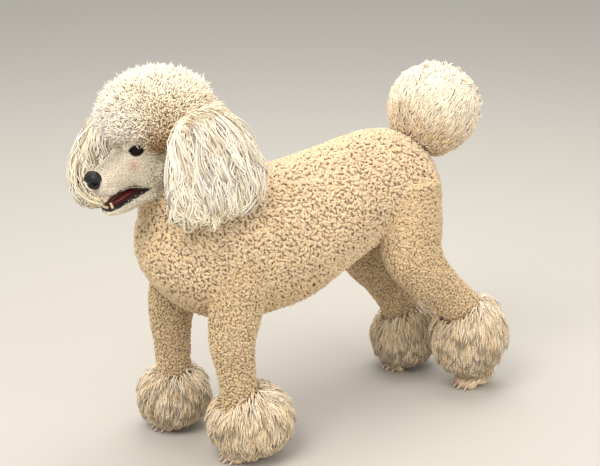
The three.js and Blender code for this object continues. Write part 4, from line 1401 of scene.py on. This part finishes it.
    def face(self, middles: Array) -> None:
        """Grows short hair on the shaved face, clear of eyes, nose and lips.

        It is 5 mm long on the muzzle and up to 11.5 mm on the cheeks.
        """
        place = to_head(middles)
        shape = Head()
        y = place[:, 1]
        clear = (place[:, 2] > shape.upper(y) + 4) | (place[:, 2] < shape.lower(y) - 5) | (y > 2)
        clear &= np.linalg.norm((place - shape.nose_at) / shape.nose_r, axis=1) > 1.25
        for mirror in (1, -1):
            eye = Eye(mirror)
            middle, axes = eye.axes()
            local = (middles - middle) @ axes.T
            clear &= (eye.share(local[:, 0], local[:, 1]) > 1.36) | (local[:, 2] < 0)
        quads = self.region_of_quads(Region.FACE) & clear
        roots = self.skin.scatter(quads, GAPS["face"], self.rng)
        length = 5.0 + 6.5 * ease(to_head(roots.points)[:, 1], -16, 30)
        back = HEAD_TURN @ np.array((0.0, 1.0, -0.3))
        self.fuzz("coat_face", roots, length, 0.78, "coat_white", back)


def add_node(tree: bpy.types.NodeTree, kind: str, values: dict[str, object] | None = None,
             links: dict[str, bpy.types.NodeSocket] | None = None,
             **settings: object) -> bpy.types.Node:
    """Adds a node with its settings, socket values and links.

    Args:
        tree: the material's node tree.
        kind: the node's type.
        values: numbers and colours by socket name or number.
        links: sockets that feed it, by socket name or number.
        settings: the node's own settings.

    Returns:
        The node.
    """
    node = tree.nodes.new(kind)
    for name, value in settings.items():
        setattr(node, name, value)
    for socket, value in (values or {}).items():
        node.inputs[socket].default_value = value
    for socket, source in (links or {}).items():
        tree.links.new(source, node.inputs[socket])
    return node


def add_ramp(tree: bpy.types.NodeTree, source: bpy.types.NodeSocket,
             stops: tuple[tuple[float, str], ...]) -> bpy.types.Node:
    """Adds a ramp of hex colours, each at its position, fed by a socket."""
    ramp = add_node(tree, "ShaderNodeValToRGB", None, {0: source})
    elements = ramp.color_ramp.elements
    while len(elements) < len(stops):
        elements.new(0.5)
    for element, (position, code) in zip(elements, stops):
        element.position = position
        element.color = (*linear(code), 1)
    return ramp


def new_material(name: str, **values: object) -> tuple[bpy.types.NodeTree, bpy.types.Node,
                                                       bpy.types.Material]:
    """Starts a material and returns its tree, its shader and itself."""
    material = bpy.data.materials.new(name)
    material.use_nodes = True
    tree = material.node_tree
    shader = tree.nodes["Principled BSDF"]
    for socket, value in values.items():
        shader.inputs[socket.replace("_", " ")].default_value = value
    return tree, shader, material


@dataclass(frozen=True)
class PoodleHair:
    """Washed and brushed poodle hair: matte and soft, a touch paler at the root, partly the paler inner coat and
    partly painted light that lifts the shade between tufts.
    """

    name: str = "poodle_hair"
    roughness: float = 0.82
    fibre_mm: float = 1.4

    def make(self) -> bpy.types.Material:
        """Multiplies each piece's own colour by a shade along the tuft and its tint."""
        tree, shader, material = new_material(
            self.name, Roughness=self.roughness, Sheen_Weight=0.25, Sheen_Roughness=0.5,
            Specular_IOR_Level=0.22)
        coat, along, tint = (add_node(tree, "ShaderNodeAttribute", attribute_name=name)
                             for name in ("coat", "along", "tint"))
        place = add_node(tree, "ShaderNodeTexCoord")
        # Roots 1.08 times paler than tips: partly the paler inner coat, partly painted light that lifts the shade
        # between tufts
        shade = add_node(tree, "ShaderNodeMapRange", {3: 1.08, 4: 1.0}, {0: along.outputs["Fac"]})
        cloud = add_node(tree, "ShaderNodeTexNoise", {"Scale": 28.0, "Detail": 3.0},
                         {"Vector": place.outputs["Object"]})
        patch = add_node(tree, "ShaderNodeMapRange", {1: 0.3, 2: 0.7, 3: 0.92, 4: 1.04},
                         {0: cloud.outputs["Fac"]})
        both = add_node(tree, "ShaderNodeMath", None,
                        {0: shade.outputs[0], 1: tint.outputs["Fac"]}, operation="MULTIPLY")
        total = add_node(tree, "ShaderNodeMath", None,
                         {0: both.outputs[0], 1: patch.outputs[0]}, operation="MULTIPLY")
        colour = add_node(tree, "ShaderNodeVectorMath", None,
                          {0: coat.outputs["Color"]}, operation="SCALE")
        tree.links.new(total.outputs[0], colour.inputs["Scale"])
        tree.links.new(colour.outputs[0], shader.inputs["Base Color"])
        fibre = add_node(tree, "ShaderNodeTexNoise", {"Scale": 1000 / self.fibre_mm, "Detail": 2.0},
                         {"Vector": place.outputs["Object"]})
        bump = add_node(tree, "ShaderNodeBump", {"Strength": 0.35, "Distance": 0.0006},
                        {"Height": fibre.outputs["Fac"]})
        tree.links.new(bump.outputs[0], shader.inputs["Normal"])
        return material


@dataclass(frozen=True)
class Surface:
    """A plain living surface with a fine grain: leather, horn, enamel or gum."""

    name: str
    light: str
    dark: str
    roughness: float
    grain_mm: float
    depth: float
    shine: float = 0.0
    pebbles: bool = False
    specular: float = 0.35

    def make(self) -> bpy.types.Material:
        """Mixes the two colours by the grain and raises the grain as a bump."""
        tree, shader, material = new_material(
            self.name, Roughness=self.roughness, Coat_Weight=self.shine, Coat_Roughness=0.12,
            Specular_IOR_Level=self.specular)
        place = add_node(tree, "ShaderNodeTexCoord")
        kind = "ShaderNodeTexVoronoi" if self.pebbles else "ShaderNodeTexNoise"
        grain = add_node(tree, kind, {"Scale": 1000 / self.grain_mm},
                         {"Vector": place.outputs["Object"]})
        ramp = add_ramp(tree, grain.outputs[0], ((0.0, self.dark), (1.0, self.light)))
        tree.links.new(ramp.outputs[0], shader.inputs["Base Color"])
        bump = add_node(tree, "ShaderNodeBump", {"Strength": 0.6, "Distance": self.depth * MM},
                        {"Height": grain.outputs[0]}, invert=self.pebbles)
        tree.links.new(bump.outputs[0], shader.inputs["Normal"])
        return material


# Bare skin of the lips: dull black with a faint damp edge
BLACK_SKIN = Surface("black_skin", light="#1b1718", dark="#0d0b0b", roughness=0.5, grain_mm=1.6,
                     depth=0.25, shine=0.08)
# Nose leather: raised pebbles that break its damp shine up
NOSE_LEATHER = Surface("nose_leather", light="#171415", dark="#070606", roughness=0.46,
                       grain_mm=1.5, depth=0.5, shine=0.08, pebbles=True)
# Tongue: wet, with soft papillae
TONGUE_FLESH = Surface("tongue_flesh", light="#8a3d39", dark="#471817", roughness=0.35,
                       grain_mm=1.2, depth=0.4, shine=0.25)
# Enamel: smooth and glossy, clouded from ivory to tan
TOOTH_ENAMEL = Surface("tooth_enamel", light="#efe6cd", dark="#cdb27a", roughness=0.22,
                       grain_mm=9.0, depth=0.05, shine=0.5)
# Claw: pale horn with a low shine
CLAW_HORN = Surface("claw_horn", light="#e6cfc0", dark="#c9a896", roughness=0.35, grain_mm=4.0,
                    depth=0.05, shine=0.3)


@dataclass(frozen=True)
class EyeGlass:
    """A wet dark brown eye: pupil, iris and a dark rim by the angle from the gaze."""

    name: str = "wet_eye"
    pupil: str = "#020202"
    iris: str = "#24140b"
    rim: str = "#120a06"
    white: str = "#2b2320"

    def make(self) -> bpy.types.Material:
        """Colours the globe by its ring attribute under a clear wet coat."""
        tree, shader, material = new_material(
            self.name, Roughness=0.3, Specular_IOR_Level=0.0, Coat_Weight=0.45, Coat_Roughness=0.03)
        ring = add_node(tree, "ShaderNodeAttribute", attribute_name="ring")
        ramp = add_ramp(tree, ring.outputs["Fac"], (
            (0.0, self.pupil), (0.12, self.pupil), (0.15, self.iris), (0.25, self.iris),
            (0.29, self.rim), (0.36, self.white)))
        tree.links.new(ramp.outputs[0], shader.inputs["Base Color"])
        return material


@dataclass
class HeadPieces:
    """What is set into the skin of the head: eyes, lids, nose, lips, tongue and teeth."""

    head: Head
    markings: Markings

    def build(self, skin: BVHTree, hair: bpy.types.Material) -> None:
        """Adds every piece of the head."""
        for side, mirror in (("left", 1), ("right", -1)):
            eye = Eye(mirror)
            globe, from_gaze = eye.globe()
            add_shell(f"eye_globe_{side}", globe, "eye_brown", EyeGlass().make(),
                      (f"eye_{side}",), ring=from_gaze / np.pi)
            self.lids(f"eye_lids_{side}", eye, skin, hair)
        add_shell("nose_leather", self.head.nose(), "nose_black", NOSE_LEATHER.make(), ("nose",))
        lips = join_shells([self.head.lip(edge, skin) for edge in ("upper", "lower")])
        add_shell("lips", lips, "nose_black", BLACK_SKIN.make())
        add_shell("tongue_flesh", self.tongue(), "tongue_red", TONGUE_FLESH.make(), ("tongue",))
        teeth = join_shells(self.head.teeth_shells())
        add_shell("teeth", teeth, "coat_white", TOOTH_ENAMEL.make())

    def tongue(self) -> Shell:
        """Makes the tongue, with a groove 1.6 mm deep along its upper side."""
        flat = Path(self.head.tongue, normal=BACKWARD, in_head=True).shell(Region.FACE, 0, 30, 28)
        local = to_head(flat.points)
        local[:, 2] -= 1.6 * np.exp(-(local[:, 0] / 2.2) ** 2) * (local[:, 2] > -71)
        return Shell(from_head(local), flat.faces)

    def lids(self, name: str, eye: Eye, skin: BVHTree, hair: bpy.types.Material) -> None:
        """Adds one pair of lids: a black rim that fades into the face."""
        shell, share = eye.lids(skin)
        face = self.markings.colour(shell.points, np.full(len(share), Region.FACE.value)) * 0.8
        dark = 1 - ease(share, 1.12, 1.42)[:, None]
        add_shell(name, shell, "coat_white", hair,
                  coat=mix(face, linear(self.markings.lid_rim), dark),
                  along=np.full(len(share), 0.6), tint=np.ones(len(share)))


@dataclass(frozen=True)
class Studio:
    """A pale floor, soft lights and the camera at the photograph's angle."""

    camera_at: tuple[float, float, float] = (2103.2, -1407.6, 1201.7)
    azimuth: float = 56.4
    elevation: float = 18.45
    lens: float = 88.4
    floor_reach: float = 6000.0

    def build(self) -> None:
        """Adds the floor, the world, three lights and the camera."""
        corners = self.floor_reach * np.array(((-1, -1, 0), (1, -1, 0), (1, 1, 0), (-1, 1, 0)))
        floor = link("floor", make_mesh("floor", corners, np.array(((0, 1, 2, 3),))))
        floor.data.materials.append(
            new_material("pale_floor", Roughness=0.9, Base_Color=(*linear("#bdbab4"), 1))[2])
        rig.stage(floor)
        world = bpy.data.worlds.new("studio")
        world.use_nodes = True
        background = world.node_tree.nodes["Background"]
        background.inputs["Color"].default_value = (*linear("#f3f1ee"), 1)
        background.inputs["Strength"].default_value = 0.8
        bpy.context.scene.world = world
        bpy.context.scene.view_settings.view_transform = "Standard"
        self.light("key", (0.9, -1.9, 2.9), 82, 1.8)
        self.light("top", (-0.6, 0.6, 3.0), 60, 2.4)
        self.light("fill", (2.6, 0.9, 1.2), 26, 2.0)
        camera = bpy.data.cameras.new("camera")
        camera.lens = self.lens
        camera.sensor_width = 36
        view = link("camera", camera)
        view.location = (np.array(self.camera_at) - ORIGIN) * MM
        a, e = math.radians(self.azimuth), math.radians(self.elevation)
        back = Vector((math.sin(a) * math.cos(e), -math.cos(a) * math.cos(e), math.sin(e)))
        aim(view, -back)
        bpy.context.scene.camera = view

    def light(self, name: str, at: tuple[float, float, float], watts: float, size: float) -> None:
        """Adds one square soft light that looks at the middle of the dog."""
        lamp = bpy.data.lights.new(name, "AREA")
        lamp.energy = watts
        lamp.color = (1.0, 0.955, 0.88)
        lamp.size = size
        holder = link(name, lamp)
        holder.location = at
        aim(holder, Vector((0, 0, 0.35)) - Vector(at))


FLESH = (
    "head", "jaw", "neck", "torso", "topknot", "ear_left", "ear_right", "tail_dock",
    "tail_pompon", "foreleg_left", "foreleg_right", "thigh_left", "thigh_right",
    "hindleg_left", "hindleg_right", "fore_pompon_left", "fore_pompon_right",
    "hind_pompon_left", "hind_pompon_right", "fore_paw_left", "fore_paw_right",
    "hind_paw_left", "hind_paw_right",
)


def main() -> None:
    """Builds the skin, the head's pieces, the claws, the coat and the studio."""
    cad_box = [list(corner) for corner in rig.bounds()]
    rng = np.random.default_rng(SEED)
    markings, head, skin = Markings(), Head(), Skin()
    skin.wrap(skin.shells(list(EARS), head))
    log.info("skin: %d quads", len(skin.quads))
    hair = PoodleHair().make()
    HeadPieces(head, markings).build(skin.tree(), hair)
    for mirror in (1, -1):
        skin.points = Eye(mirror).hollow(skin.points)
    skin.refresh()
    skin.dress(markings, hair, FLESH)
    claws = join_shells([Paw(*place).claw(toe) for place in PAWS for toe in TOES])
    add_shell("claws", claws, "paw_pink", CLAW_HORN.make())
    Coat(skin, markings, hair, rng).grow()
    Studio().build()
    shown_box = [list(corner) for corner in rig.bounds()]
    SIZE_FILE.write_text(json.dumps({"cad": cad_box, "visual": shown_box}))
    log.info("cad %s", cad_box)
    log.info("visual %s", shown_box)


if __name__ == "__main__":
    main()
